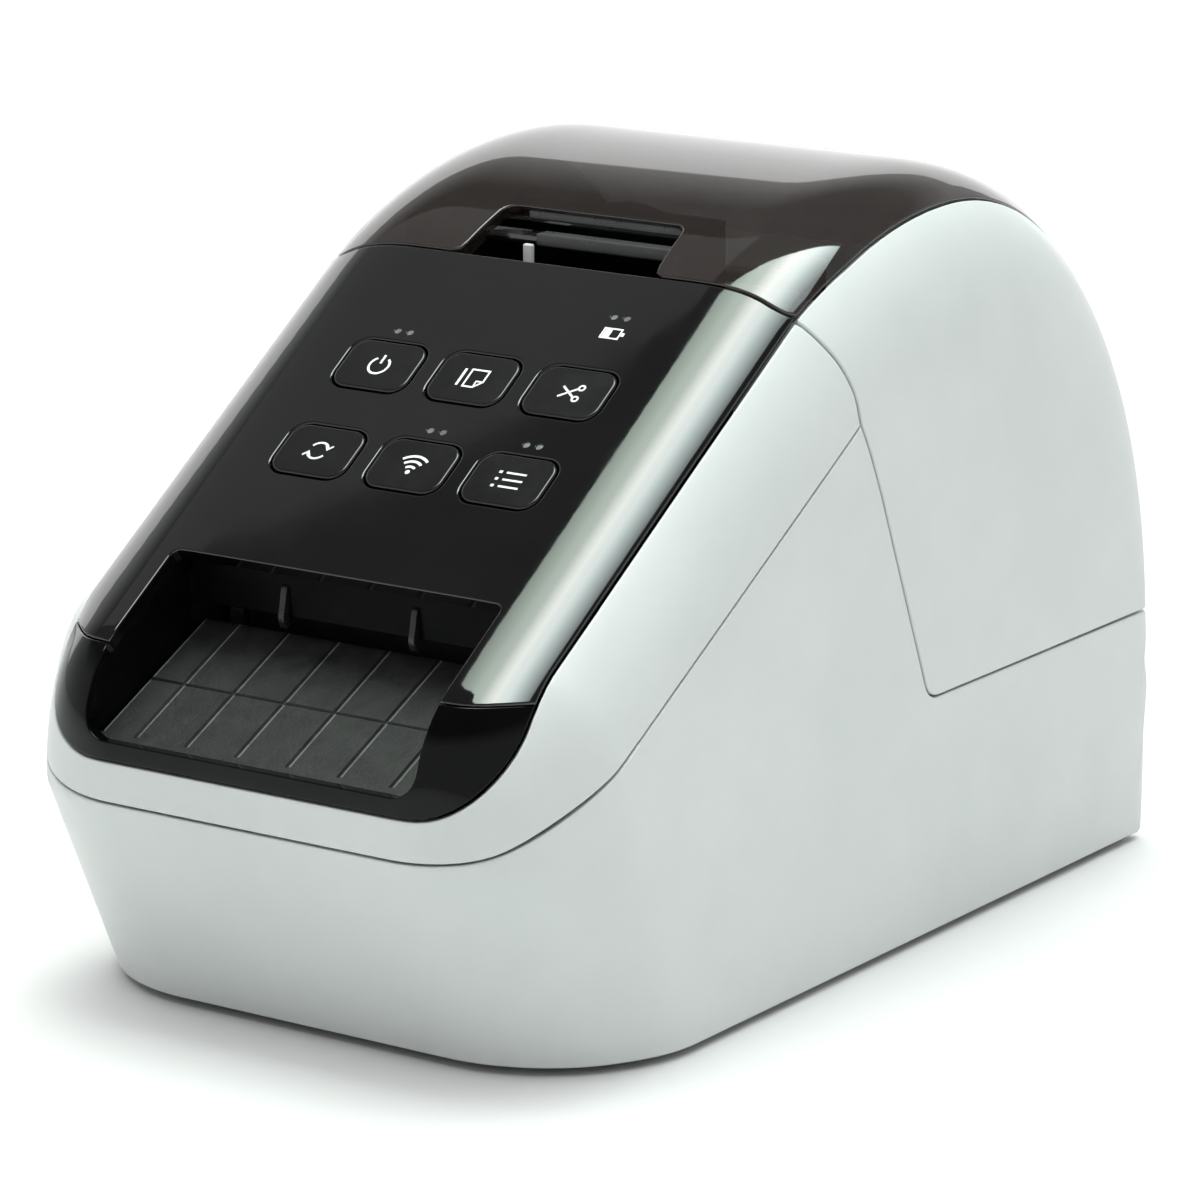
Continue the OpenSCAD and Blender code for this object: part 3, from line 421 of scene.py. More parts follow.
def triangulate(outlines, step, extra):
    """Points and triangles that fill the outlines: first their own points, then a grid, then extra."""
    low, high = np.min(np.concatenate(outlines), 0), np.max(np.concatenate(outlines), 0)
    rows = np.arange(low[1] + step * 0.5, high[1], step * 0.87)
    grid = [(x, y) for j, y in enumerate(rows) for x in np.arange(low[0] + (j % 2) * step / 2, high[0], step)]
    grid = np.array(grid + list(extra)).reshape(-1, 2)
    grid = grid[inside_loops(grid, outlines)]
    grid = grid[far_from(grid, outlines, step * 0.45)]
    uv = np.concatenate(outlines + [grid])
    links, start = [], 0
    for lp in outlines:
        n = len(lp)
        links += [(start + i, start + (i + 1) % n) for i in range(n)]
        start += n
    _, _, tris, origin, _, _ = delaunay_2d_cdt([Vector(p) for p in uv], links, [], 0, 1e-7)
    index = [o[0] if o else -1 for o in origin]
    tris = np.array([[index[i] for i in t] for t in tris if all(index[i] >= 0 for i in t)])
    return uv, tris[inside_loops(uv[tris].mean(1), outlines)]


def patch(name, loops, place, material, body, thick=WALL, edge=0.35, step=3.0, scale=None, extra=(),
          rounds=3, inner=None, shrink=0.0):
    """A shell of one trimmed surface. loops[0] is the outline and the others are holes, in the patch's own
    millimetres. place turns them into points and normals. The rims are rounded by edge, then run inwards."""
    loops = [resample(list(map(tuple, lp)), step) for lp in loops]
    loops = [lp if (signed_area(lp) > 0) == (i == 0) else lp[::-1] for i, lp in enumerate(loops)]
    size = [scale(lp) if scale else np.ones(len(lp)) for lp in loops]
    edge = edge if isinstance(edge, list) else [edge] * len(loops)
    loops[0] = inset(loops[0], shrink * size[0])

    def rim_at(a, wider=0.0):
        """The rims where their rounding has turned by a, in the plane of the patch."""
        return [inset(lp, (e * (1 - math.sin(a)) - wider) * z) for lp, e, z in zip(loops, edge, size)]

    # the outer surface
    uv, tris = triangulate(rim_at(0), step, extra)
    points, n_top = place(uv)
    count, n_rim = len(uv), sum(len(lp) for lp in loops)
    corner = points[tris]
    facing = np.cross(corner[:, 1] - corner[:, 0], corner[:, 2] - corner[:, 0])
    turned = (facing * n_top[tris[:, 0]]).sum(1) < 0
    tri = [tuple(int(i) for i in (t[::-1] if w else t)) for t, w in zip(tris, turned)]
    faces, norms = list(tri), [[n_top[i] for i in t] for t in tri]

    # rings down the rounded rims and through the wall
    verts, rings, ring_n, total = [points], [np.arange(n_rim)], [n_top[:n_rim]], count
    reach = np.concatenate([np.full(len(lp), e) for lp, e in zip(loops, edge)])[:, None]
    for k in range(1, rounds + 2):
        a = min(k / rounds, 1) * math.pi / 2
        rp, rn = place(np.concatenate(rim_at(a)))
        out = place(np.concatenate(rim_at(a, 0.15)))[0] - rp
        out = unit(out - rn * (out * rn).sum(1)[:, None])
        depth = reach * (1 - math.cos(a)) if k <= rounds else thick
        verts.append(rp - rn * depth)
        rings.append(np.arange(total, total + n_rim))
        ring_n.append(rn * math.cos(a) + out * math.sin(a))
        total += n_rim
    first = 0
    for lp in loops:
        n = len(lp)
        for k in range(len(rings) - 1):
            for i in range(n):
                here, after = first + i, first + (i + 1) % n
                ends = [(k, here), (k + 1, here), (k + 1, after), (k, after)]
                faces.append(tuple(int(rings[r][j]) for r, j in ends))
                norms.append([ring_n[r][j] for r, j in ends])
        first += n

    # the inner surface
    verts.append(points[n_rim:] - n_top[n_rim:] * thick)
    back = [int(rings[-1][i]) if i < n_rim else total + i - n_rim for i in range(count)]
    verts = np.concatenate(verts) * MM
    q = verts[list(faces[len(tri)])]
    if np.dot(np.cross(q[1] - q[0], q[2] - q[0]), norms[len(tri)][1]) < 0:
        faces[len(tri):] = [f[::-1] for f in faces[len(tri):]]
        norms[len(tri):] = [n[::-1] for n in norms[len(tri):]]
    slots = [0] * len(faces) + [1 if inner else 0] * len(tri)
    for t in tri:
        faces.append(tuple(back[i] for i in t[::-1]))
        norms.append([-n_top[i] for i in t[::-1]])
    materials = [material, inner] if inner else [material]
    return make_object(name, verts, faces, materials, body, [tuple(n) for f in norms for n in f], slots)


def prism(name, loop, place, height, material, body, edge=0.3, rounds=3, step=2.0):
    """A flat-topped block on a plane: place(u, v, n) gives the point. The top edge is rounded."""
    def on_plane(uv):
        p = np.array([place(u, v, height) for u, v in uv])
        up = np.array(place(0, 0, 1)) - np.array(place(0, 0, 0))
        return p, np.tile(up / np.linalg.norm(up), (len(uv), 1))
    return patch(name, [loop], on_plane, material, body, thick=height, edge=edge, step=step, rounds=rounds)


def rounded(w, h, r, cx, cy, n):
    """A rectangle with round corners."""
    out = []
    for sx, sy, a in [(1, 1, 0), (-1, 1, 90), (-1, -1, 180), (1, -1, 270)]:
        out += arc(cx + sx * (w / 2 - r), cy + sy * (h / 2 - r), r, a, a + 90, n)
    return out


def box_with_round_edges(name, lo, hi, r, material, body):
    """A block with rounded edges, built as a bevelled cage."""
    bm = bmesh.new()
    bmesh.ops.create_cube(bm, size=1.0)
    for v in bm.verts:
        for i in range(3):
            v.co[i] = (lo[i] if v.co[i] < 0 else hi[i]) * MM
    bmesh.ops.bevel(bm, geom=bm.edges[:], offset=r * MM, segments=3, affect="EDGES", profile=0.5)
    mesh = bpy.data.meshes.new(name)
    bm.to_mesh(mesh)
    bm.free()
    mesh.polygons.foreach_set("use_smooth", np.full(len(mesh.polygons), True))
    obj = add_object(name, mesh, [material], body)
    obj.modifiers.new("even", "WEIGHTED_NORMAL").keep_sharp = True
    return obj


def lathe(name, outline, axis_point, materials, slots, body, n=96):
    """A ring round the X axis through axis_point. outline is a closed list of (x, radius), and slots holds
    the material's place for each of its sides."""
    m = len(outline)
    verts, faces = [], []
    for i in range(n):
        a = 2 * math.pi * i / n
        for x, r in outline:
            verts.append(((axis_point[0] + x) * MM, (axis_point[1] + r * math.cos(a)) * MM,
                          (axis_point[2] + r * math.sin(a)) * MM))
    for i in range(n):
        for k in range(m):
            a, b = i * m + k, i * m + (k + 1) % m
            c, d = ((i + 1) % n) * m + (k + 1) % m, ((i + 1) % n) * m + k
            faces.append((a, d, c, b))
    obj = make_object(name, verts, faces, materials, body, None, slots * n)
    obj.modifiers.new("even", "WEIGHTED_NORMAL").keep_sharp = True
    return obj


# ---------------------------------------------------------------- materials
def node(tree, kind, wires=(), **values):
    """A shader node. values are its settings or unlinked inputs, and wires are pairs of input and socket."""
    n = tree.nodes.new("ShaderNode" + kind)
    for key, value in values.items():
        if hasattr(n, key):
            setattr(n, key, value)
        else:
            n.inputs[key.replace("_", " ")].default_value = value
    for slot, socket in wires:
        tree.links.new(socket, n.inputs[slot])
    return n


def noise(tree, scale, detail=3.0, rough=0.5, stretch=None):
    """Noise in the piece's own space."""
    coords = node(tree, "TexCoord").outputs["Object"]
    mapping = node(tree, "Mapping", [("Vector", coords)], Scale=stretch or (1, 1, 1))
    tex = node(tree, "TexNoise", [("Vector", mapping.outputs["Vector"])], Scale=scale, Detail=detail,
               Roughness=rough)
    return tex.outputs["Fac"]


def remap(tree, value, lo, hi):
    scaled = node(tree, "MapRange", [("Value", value)], From_Min=0.3, From_Max=0.7, To_Min=lo, To_Max=hi)
    return scaled.outputs["Result"]


def ramp(tree, value, stops):
    """A colour that follows value through stops of (place, colour)."""
    r = node(tree, "ValToRGB", [("Fac", value)])
    band = r.color_ramp
    while len(band.elements) < len(stops):
        band.elements.new(0.5)
    for element, (at, colour) in zip(band.elements, stops):
        element.position = at
        element.color = (*colour, 1)
    return r.outputs["Color"]


def surface(name, dark, light, rough, tint_scale, grain=None, bump=0.0, detail=2.0, stretch=None, **inputs):
    """A plastic, metal or rubber: two close colours clouded together, uneven gloss, and a fine grain."""
    mat = bpy.data.materials.new(name)
    mat.use_nodes = True
    tree = mat.node_tree
    shader = tree.nodes["Principled BSDF"]
    for key, value in inputs.items():
        shader.inputs[key.replace("_", " ")].default_value = value
    clouds = noise(tree, tint_scale, 4.0, 0.6, stretch)
    tree.links.new(ramp(tree, clouds, [(0.35, dark), (0.65, light)]), shader.inputs["Base Color"])
    wipes = noise(tree, tint_scale * 2.7, 5.0, 0.65, stretch)
    tree.links.new(remap(tree, wipes, *rough), shader.inputs["Roughness"])
    if grain:
        fine = noise(tree, grain, detail, 0.6, stretch)
        b = node(tree, "Bump", [("Height", fine)], Strength=1.0, Distance=bump * MM)
        tree.links.new(b.outputs["Normal"], shader.inputs["Normal"])
    mat.diffuse_color = (*light, 1)
    return mat


PEARL = surface("pearl_plastic", (0.555, 0.583, 0.574), (0.592, 0.616, 0.607), (0.33, 0.42), 25, 1800, 0.012,
                IOR=1.5, Coat_Weight=0.12, Coat_Roughness=0.2)
BLACK = surface("gloss_black", (0.0012, 0.0012, 0.0013), (0.0024, 0.0024, 0.0026), (0.035, 0.07), 40, 900,
                0.0006, IOR=1.75)
KEY_BLACK = surface("key_black", (0.0018, 0.0018, 0.0018), (0.004, 0.004, 0.004), (0.16, 0.24), 60, 2500,
                    0.004, IOR=1.6)
NOSE_BLACK = surface("nose_black", (0.0008, 0.0008, 0.001), (0.0018, 0.0018, 0.0022), (0.06, 0.11), 40, 900,
                     0.0008, IOR=1.3)
TRAY_GREY = surface("tray_grey", (0.009, 0.0095, 0.009), (0.017, 0.018, 0.017), (0.4, 0.55), 260, 1500,
                    0.07, 5.0)
# Lighter grey for the narrow strip beside each tray groove: a painted highlight where the groove edges catch
# light.
TRAY_PAINTED_HIGHLIGHT = surface("tray_painted_highlight", (0.08, 0.082, 0.08), (0.13, 0.132, 0.13), (0.4, 0.5), 260, 1500, 0.02, 4.0)
MOUTH_BLACK = surface("mouth_black", (0.0015, 0.0015, 0.0018), (0.003, 0.003, 0.0035), (0.3, 0.42), 140, 1500,
                      0.01, IOR=1.15)
RIB_BLACK = surface("rib_black", (0.012, 0.012, 0.012), (0.02, 0.02, 0.02), (0.22, 0.32), 200, 1500, 0.006)
# Steel darkened to near black: painted shade for the side plates, fixed blade and cutter bar, which sit in
# the shade inside the mouth.
STEEL_PAINTED_SHADE = surface("steel_painted_shade", (0.02, 0.02, 0.021), (0.032, 0.032, 0.034), (0.4, 0.55), 150, 1400, 0.01,
                     Metallic=0.6)
DARK_PLASTIC = surface("dark_plastic", (0.012, 0.012, 0.013), (0.02, 0.02, 0.021), (0.4, 0.55), 90, 1300,
                       0.03, 3.0)
FOOT = surface("foot_rubber", (0.012, 0.012, 0.012), (0.022, 0.022, 0.022), (0.7, 0.85), 150, 900, 0.06)
ROLLER = surface("roller_rubber", (0.014, 0.014, 0.015), (0.024, 0.024, 0.026), (0.55, 0.7), 150, 2200, 0.02)
ACETAL = surface("gear_plastic", (0.62, 0.61, 0.57), (0.7, 0.69, 0.64), (0.35, 0.5), 120, 1500, 0.01)
BRASS = surface("brass", (0.55, 0.38, 0.14), (0.72, 0.53, 0.24), (0.22, 0.38), 180, 2500, 0.008, Metallic=1.0)
STEEL = surface("steel", (0.42, 0.42, 0.44), (0.55, 0.55, 0.56), (0.25, 0.42), 120, 1400, 0.008,
                stretch=(1, 8, 8), Metallic=1.0)
ALUMINIUM = surface("heatsink_aluminium", (0.5, 0.5, 0.52), (0.62, 0.62, 0.64), (0.32, 0.46), 140, 1600, 0.01,
                    stretch=(1, 10, 1), Metallic=1.0)
CERAMIC = surface("head_ceramic", (0.55, 0.5, 0.4), (0.64, 0.58, 0.47), (0.15, 0.28), 160, 1400, 0.004)
BOARD = surface("board_green", (0.008, 0.05, 0.022), (0.014, 0.075, 0.034), (0.25, 0.4), 300, 900, 0.02, 5.0)
CHIP = surface("chip_black", (0.012, 0.012, 0.014), (0.02, 0.02, 0.023), (0.4, 0.55), 300, 2200, 0.01)
LENS = surface("lamp_lens", (0.11, 0.12, 0.11), (0.18, 0.19, 0.18), (0.1, 0.2), 400, 2500, 0.004, IOR=1.6)
PAPER = surface("label_paper", (0.72, 0.72, 0.69), (0.8, 0.8, 0.78), (0.5, 0.7), 80, 700, 0.02, 4.0)
CARD = surface("core_card", (0.26, 0.18, 0.1), (0.36, 0.26, 0.16), (0.75, 0.9), 120, 600, 0.08, 5.0)
INK = surface("key_marks", (0.72, 0.73, 0.73), (0.8, 0.81, 0.81), (0.4, 0.55), 300, 2500, 0.004)
GRIP_GREY = surface("grip_grey", (0.035, 0.035, 0.037), (0.05, 0.05, 0.052), (0.25, 0.36), 120, 1500, 0.006)
TAB_GREY = surface("tab_grey", (0.5, 0.5, 0.5), (0.6, 0.6, 0.6), (0.4, 0.5), 200, 1500, 0.006)
SMOKE = surface("smoked_window", (0.01, 0.0065, 0.0055), (0.015, 0.01, 0.0085), (0.03, 0.05), 45, 900,
                0.0005, IOR=1.9, Alpha=0.87)
SMOKE_BACK = surface("smoked_window_inside", (0.02, 0.014, 0.013), (0.026, 0.019, 0.017), (0.3, 0.4), 45, 900,
                     0.0005, IOR=1.9, Alpha=0.12)

ROLL_Y, ROLL_Z = 54.0, 88.0
TURN_PITCH, TURN_DEPTH = 0.5, 0.05


def wound_paper():
    """Edge of a wound roll: fine rings round the axis."""
    mat = surface("label_edge", (0.6, 0.6, 0.57), (0.76, 0.76, 0.73), (0.6, 0.8), 90)
    tree = mat.node_tree
    coords = node(tree, "TexCoord").outputs["Object"]
    shift = node(tree, "Mapping", [("Vector", coords)], Location=(0, -ROLL_Y * MM, -ROLL_Z * MM))
    split = node(tree, "SeparateXYZ", [("Vector", shift.outputs["Vector"])])
    squares = [node(tree, "Math", [(0, split.outputs[axis]), (1, split.outputs[axis])], operation="MULTIPLY")
               for axis in "YZ"]
    total = node(tree, "Math", [(i, square.outputs[0]) for i, square in enumerate(squares)], operation="ADD")
    radius = node(tree, "Math", [(0, total.outputs[0])], operation="SQRT")
    turns = node(tree, "Math", [(0, radius.outputs[0])], operation="MULTIPLY")
    turns.inputs[1].default_value = 2 * math.pi / (TURN_PITCH * MM)
    wave = node(tree, "Math", [(0, turns.outputs[0])], operation="SINE")
    b = node(tree, "Bump", [("Height", wave.outputs[0])], Distance=TURN_DEPTH * MM)
    tree.links.new(b.outputs["Normal"], tree.nodes["Principled BSDF"].inputs["Normal"])
    return mat


LABEL_EDGE = wound_paper()

# ---------------------------------------------------------------- lower housing
RING_R, RING_Z = P_END / math.pi, 40.0


def to_ring(loop):
    """Lays the wall out as a flat ring that closes on itself, with shapes kept."""
    loop = np.array(loop, float)
    a, r = loop[:, 0] / RING_R, RING_R * np.exp((loop[:, 1] - RING_Z) / RING_R)
    return np.stack([-r * np.sin(a), r * np.cos(a)], 1)


def on_ring(xy):
    """Points of the lower housing at a place in the flat ring."""
    r = np.hypot(xy[:, 0], xy[:, 1])
    p, z = np.arctan2(-xy[:, 0], xy[:, 1]) * RING_R, RING_Z + RING_R * np.log(r / RING_R)
    return on_base(np.stack([p, z], 1))


def ring_scale(xy):
    """How much the flat ring enlarges the wall."""
    return np.hypot(xy[:, 0], xy[:, 1]) / RING_R


INLET_X, USB_X, SOCKET_Z = -36.0, -8.0, 21.0
INLET_R = 5.5
USB_W, USB_H, USB_R = 12.4, 11.4, 0.8
SIDE_STEPS = 24


def rear_p(x):
    """Place on the rear wall at x."""
    return math.copysign(P_END - abs(x), x)


side_ys = list(np.arange(REAR_Y - REAR_CORNER_R - 0.5, COVER_EDGE[0][0], -2.5))
side_ys += [p[0] for p in COVER_EDGE] + list(np.linspace(COVER_EDGE[-1][0], APEX[0], SIDE_STEPS)[1:])
side_ys += list(np.arange(APEX[0] - 2, FRONT_Y + 1, -2.0))
front_z = float(frame_line_z(FRONT_Y))
right_edge = [(p, COVER_Z) for p in np.arange(P_END, P_BACK, -2.5)]
right_edge += [(p_of_y(y), float(side_line_z(y))) for y in side_ys]
right_edge += [(p, front_z) for p in np.arange(P_FRONT + 3, -1, -3.0) if p > 0]
full_edge = right_edge + [(0.0, front_z)] + mirrored(right_edge[1:])
foot_edge = [(p, BASE_LOW_Z) for p in np.linspace(P_END, -P_END, 261)[:-1]]
inlet_hole = arc(rear_p(INLET_X), SOCKET_Z, INLET_R, 0, 345, 23)
usb_outline = rounded(USB_W, USB_H, USB_R, rear_p(USB_X), SOCKET_Z, 3)
usb_hole = [tuple(p) for p in resample(usb_outline, 1.5)]
ledge_rows = [(p, z) for z in (LEDGE_Z + 0.3, LEDGE_Z, LEDGE_Z - LEDGE_H, LEDGE_Z - 1.1)
              for p in list(np.arange(P_REAR, P_END, 2.5)) + list(np.arange(-P_REAR, -P_END, -2.5))]
housing = patch("lower_housing", [to_ring(line) for line in (full_edge, foot_edge, inlet_hole, usb_hole)],
                on_ring, PEARL, ROOT, edge=[0.45, 0.6, 0.3, 0.3], scale=ring_scale,
                extra=[tuple(q) for q in to_ring(ledge_rows)], shrink=GAP)
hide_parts("base_housing")


# ---------------------------------------------------------------- white front frame
def black_distance(p):
    """Below zero inside the black top, seen from the front."""
    dx, dz = abs(p[:, 0]) - black_half(p[:, 1]), BLACK_Z - p[:, 2]
    cx, cz = dx + BLACK_R, dz + BLACK_R
    return np.where((cx > 0) & (cz > 0), np.hypot(cx, cz) - BLACK_R, np.maximum(dx, dz))


def crossing(p, level, low=-0.6, high=1.25, n=220):
    """The first fan angle at station p, from below, where level(points) passes zero."""
    turns = np.linspace(low, high, n)
    pts, _ = on_frame(np.stack([np.full(n, p), turns * FAN_R], 1))
    value = level(pts)
    hits = np.nonzero((value[:-1] > 0) & (value[1:] <= 0))[0]
    if not len(hits):
        return None
    i = hits[0]
    share = value[i] / (value[i] - value[i + 1])
    return float(turns[i] + (turns[i + 1] - turns[i]) * share) * FAN_R


def past_frame_line(p):
    """Below zero over the lower edge of the front frame."""
    return frame_line_z(p[:, 1]) - p[:, 2]


def frame_top(p):
    """Below zero past the frame's inner edge, at the black top or at the cover."""
    return np.minimum(black_distance(p), gap_y(p[:, 2]) - p[:, 1])


stations = list(np.arange(0, P_FRONT, 3.0)) + list(np.linspace(P_FRONT, P_SIDE, 26))
stations += [p_of_y(y) for y in np.arange(-72, -14, 3.0)] + [p_of_y(y) for y in np.arange(-13, -4.2, 0.7)]
under, over = [], []
for p in stations:
    lo_turn = crossing(p, past_frame_line)
    hi_turn = crossing(p, frame_top)
    if lo_turn is not None and hi_turn is not None and hi_turn - lo_turn > 0.6:
        under.append((p, lo_turn))
        over.append((p, hi_turn))
tip_turn = math.atan2(APEX[1] - (float(crown(APEX[0])) - FAN_DROP), FAN_R) * FAN_R
tip = (p_of_y(APEX[0] - 0.15), tip_turn)
right_half = under + [tip] + over[::-1]
frame_loop = right_half + mirrored(right_half[1:-1])
white_frame = patch("front_frame_shell", [frame_loop], on_frame, PEARL, ROOT, edge=0.4, step=2.4, shrink=GAP)
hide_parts("front_frame")

# ---------------------------------------------------------------- control panel
KEY_W, KEY_L, KEY_R, KEY_PLAY = 16.6, 12.2, 3.4, 0.35
KEY_PITCH_X, KEY_ROW_S, KEY_PITCH_S = 21.2, 50.4, 22.6
MOUTH_HALF = 36.5
KEYS = ["power_key", "feed_key", "cut_key", "setup_key", "wireless_key", "mode_key"]


def key_spot(i):
    """Middle of key i, as (x, s)."""
    return (i % 3 - 1) * KEY_PITCH_X, KEY_ROW_S - (i // 3) * KEY_PITCH_S


def on_slope(x, s, n):
    """A point on the panel: x across, s up the slope from the mouth, n along its normal."""
    c, t = math.cos(SLOPE), math.sin(SLOPE)
    return (x, SLOT_Y + s * c - n * t, SLOT_Z + s * t + n * c)


LAMPS = [(-KEY_PITCH_X, KEY_ROW_S + 9.2), (KEY_PITCH_X, KEY_ROW_S + 19.8),
         (0, KEY_ROW_S - KEY_PITCH_S + 9), (KEY_PITCH_X, KEY_ROW_S - KEY_PITCH_S + 9)]
LAMP_R, LAMP_GAP = 0.7, 2.8
EDGE_GAP = 0.3
# The caps stand a little proud of the panel
KEY_SINK, KEY_H = 2.75, 2.9


def seam_y(x):
    """Where the top surface reaches the seam over x."""
    ys = np.linspace(FRONT_Y + 0.5, SLOT_Y, 400)
    pts, _ = on_panel_top(np.stack([np.full(400, x), ys], 1))
    return float(np.interp(SEAM_Z + SEAM_GAP, pts[:, 2], ys))


def rear_of_panel(x):
    """Rear edge of the panel over x: straight, then along the cover's front edge on the shoulder."""
    ys = np.linspace(COVER_GAP_Y - 1, APEX[0], 200)
    z = crown(ys) - float(np.interp(x, _x, _drop))
    behind = ys - gap_y(z)
    return float(ys[np.argmax(behind > 0)]) - GAP


corner_x = float(black_half(-88)) - EDGE_GAP
side_y = np.linspace(COVER_GAP_Y + 1.2, seam_y(corner_x), 30)
right_side_edge = [(float(black_half(y)) - EDGE_GAP, float(y)) for y in side_y[:-1]]
right_front = [(float(x), seam_y(float(x))) for x in np.linspace(corner_x, MOUTH_HALF, 8)]
rear_xs = np.linspace(0, right_side_edge[0][0], 26)[:-1]
right_rear = [(float(x), rear_of_panel(float(x))) for x in rear_xs]
mouth_corner = arc(MOUTH_HALF - 1.5, SLOT_Y - 1.5, 1.5, 0, 90, 4)
right_side = right_rear + right_side_edge + right_front + mouth_corner
panel_loop = right_side + mirrored(right_side[1:])


def to_plan(loop):
    """The loop of (x, s) as (x, y)."""
    return [(x, SLOT_Y + s * math.cos(SLOPE)) for x, s in loop]


hole_size = (KEY_W + 2 * KEY_PLAY, KEY_L + 2 * KEY_PLAY, KEY_R + KEY_PLAY)
key_holes = [to_plan(rounded(*hole_size, *key_spot(i), 8)) for i in range(len(KEYS))]
lamp_holes = [to_plan(arc(x + side * LAMP_GAP / 2, s, LAMP_R + 0.05, 0, 342, 19))
              for x, s in LAMPS for side in (-1, 1)]
panel = patch("control_panel_shell", [panel_loop] + key_holes + lamp_holes, on_panel_top, BLACK, ROOT,
              edge=[0.32] + [0.45] * len(key_holes) + [0.08] * len(lamp_holes), step=2.6)
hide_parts("control_panel")

for i, key in enumerate(KEYS):
    cap = prism(key + "_cap", rounded(KEY_W, KEY_L, KEY_R, *key_spot(i), 8),
                lambda u, v, n: on_slope(u, v, n - KEY_SINK), KEY_H, KEY_BLACK, key, edge=0.5, rounds=4)
    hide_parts(key)


# ---------------------------------------------------------------- marks on the keys
def strokes(name, lines, body, high=0.17, low=0.05):
    """Thin raised ribbons on the panel's plane. lines holds (points, width, closed)."""
    verts, faces = [], []
    for points, width, closed in lines:
        pts = np.array(points, float)
        n = len(pts)
        ahead, back = np.roll(pts, -1, 0) - pts, pts - np.roll(pts, 1, 0)
        if not closed:
            ahead[-1], back[0] = back[-1], ahead[0]
        ahead, back = unit(ahead), unit(back)
        t = unit(ahead + back)
        side = np.stack([-t[:, 1], t[:, 0]], 1)
        wide = width / 2 / np.maximum((t * ahead).sum(1), 0.5)[:, None]
        first = len(verts)
        for q, d in zip(pts, side * wide):
            for sign, level in ((1, high), (-1, high), (-1, low), (1, low)):
                verts.append(on_slope(q[0] + sign * d[0], q[1] + sign * d[1], level))
        for i in range(n if closed else n - 1):
            a, b = first + 4 * i, first + 4 * ((i + 1) % n)
            faces += [(a + k, b + k, b + (k + 1) % 4, a + (k + 1) % 4) for k in range(4)]
        if not closed:
            e = first + 4 * (n - 1)
            faces += [(first, first + 1, first + 2, first + 3), (e + 3, e + 2, e + 1, e)]
    make_object(name, np.array(verts) * MM, faces, [INK], body, smooth=False)


def circle(cx, cy, r, a0=0, a1=360, n=24):
    """A ring without its last point, or an arc."""
    pts = arc(cx, cy, r, a0, a1, n)
    return pts[:-1] if a1 - a0 == 360 else pts


def shifted(lines, cx, cs):
    """The strokes moved to a middle at (cx, cs)."""
    return [([(cx + x, cs + y) for x, y in pts], w, closed) for pts, w, closed in lines]


# Each mark is a list of strokes (points, width, closed) round the middle of its key
power_mark = [(circle(0, -0.1, 2.1, 125, 415), 0.5, False), ([(0, 0.4), (0, 2.6)], 0.5, False)]
feed_mark = [([(-2.6, -2.1), (-2.6, 2.2)], 0.55, False),
             ([(-1.2, 2.2), (2.6, 2.2), (2.6, -0.6), (1.1, -2.1), (-1.2, -2.1)], 0.4, True),
             ([(1.1, -2.0), (1.1, -0.6), (2.5, -0.6)], 0.35, False)]
cut_mark = [([(-1.8, 1.3), (1.5, -1.1)], 0.45, False), ([(-1.8, -1.3), (1.5, 1.1)], 0.45, False),
            (circle(2.1, 1.4, 0.6, n=16), 0.4, True), (circle(2.1, -1.4, 0.6, n=16), 0.4, True)]
setup_mark = [(circle(0, 0, 2.0, 20, 150), 0.45, False), (circle(0, 0, 2.0, 200, 330), 0.45, False),
              ([(2.7, 1.5), (1.8, 0.5), (1.0, 1.6)], 0.4, False),
              ([(-2.7, -1.5), (-1.8, -0.5), (-1.0, -1.6)], 0.4, False)]
wireless_mark = [(circle(0, -1.9, r, 48, 132, 14), 0.55, False) for r in (1.5, 2.8, 4.1)]
wireless_mark += [(circle(0, -1.75, 0.25, n=12), 0.5, True)]
mode_mark = [([(-1.3, y), (3.0, y)], 0.45, False) for y in (1.7, 0, -1.7)]
mode_mark += [([(-2.9, y), (-2.2, y)], 0.6, False) for y in (1.7, 0, -1.7)]
marks = [power_mark, feed_mark, cut_mark, setup_mark, wireless_mark, mode_mark]
for i, (key, lines) in enumerate(zip(KEYS, marks)):
    strokes(key + "_mark", shifted(lines, *key_spot(i)), key)
battery_mark = [([(-2.2, -1.2), (1.6, -1.2), (1.6, 1.2), (-2.2, 1.2)], 0.35, True),
                ([(1.9, 0), (2.5, 0)], 0.9, False), ([(-1.9, 0), (-0.4, 0)], 1.9, False)]
strokes("battery_sign", shifted(battery_mark, KEY_PITCH_X + 0.6, KEY_ROW_S + 15.6), ROOT, 0.03, -0.05)

# ---------------------------------------------------------------- nose of the black top
LIP_Z, LIP_R = 54.2, 5.0
TRAY_FRONT, TRAY_BACK = (-104.0, 53.4), (-76.0, 67.0)
nose_half, nose_low, nose_top = float(black_half(-95)) - EDGE_GAP, BLACK_Z + EDGE_GAP, SEAM_Z - SEAM_GAP
right_nose = arc(nose_half - BLACK_R, nose_low + BLACK_R, BLACK_R, 270, 360, 14)
right_nose += [(nose_half, nose_top), (MOUTH_HALF, nose_top)]
right_nose += arc(MOUTH_HALF - LIP_R, LIP_Z + LIP_R, LIP_R, 360, 270, 8)
nose_loop = right_nose + mirrored(right_nose)
nose = patch("front_bezel_shell", [nose_loop], on_nose, NOSE_BLACK, ROOT, edge=0.25, step=2.0)
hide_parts("front_bezel")


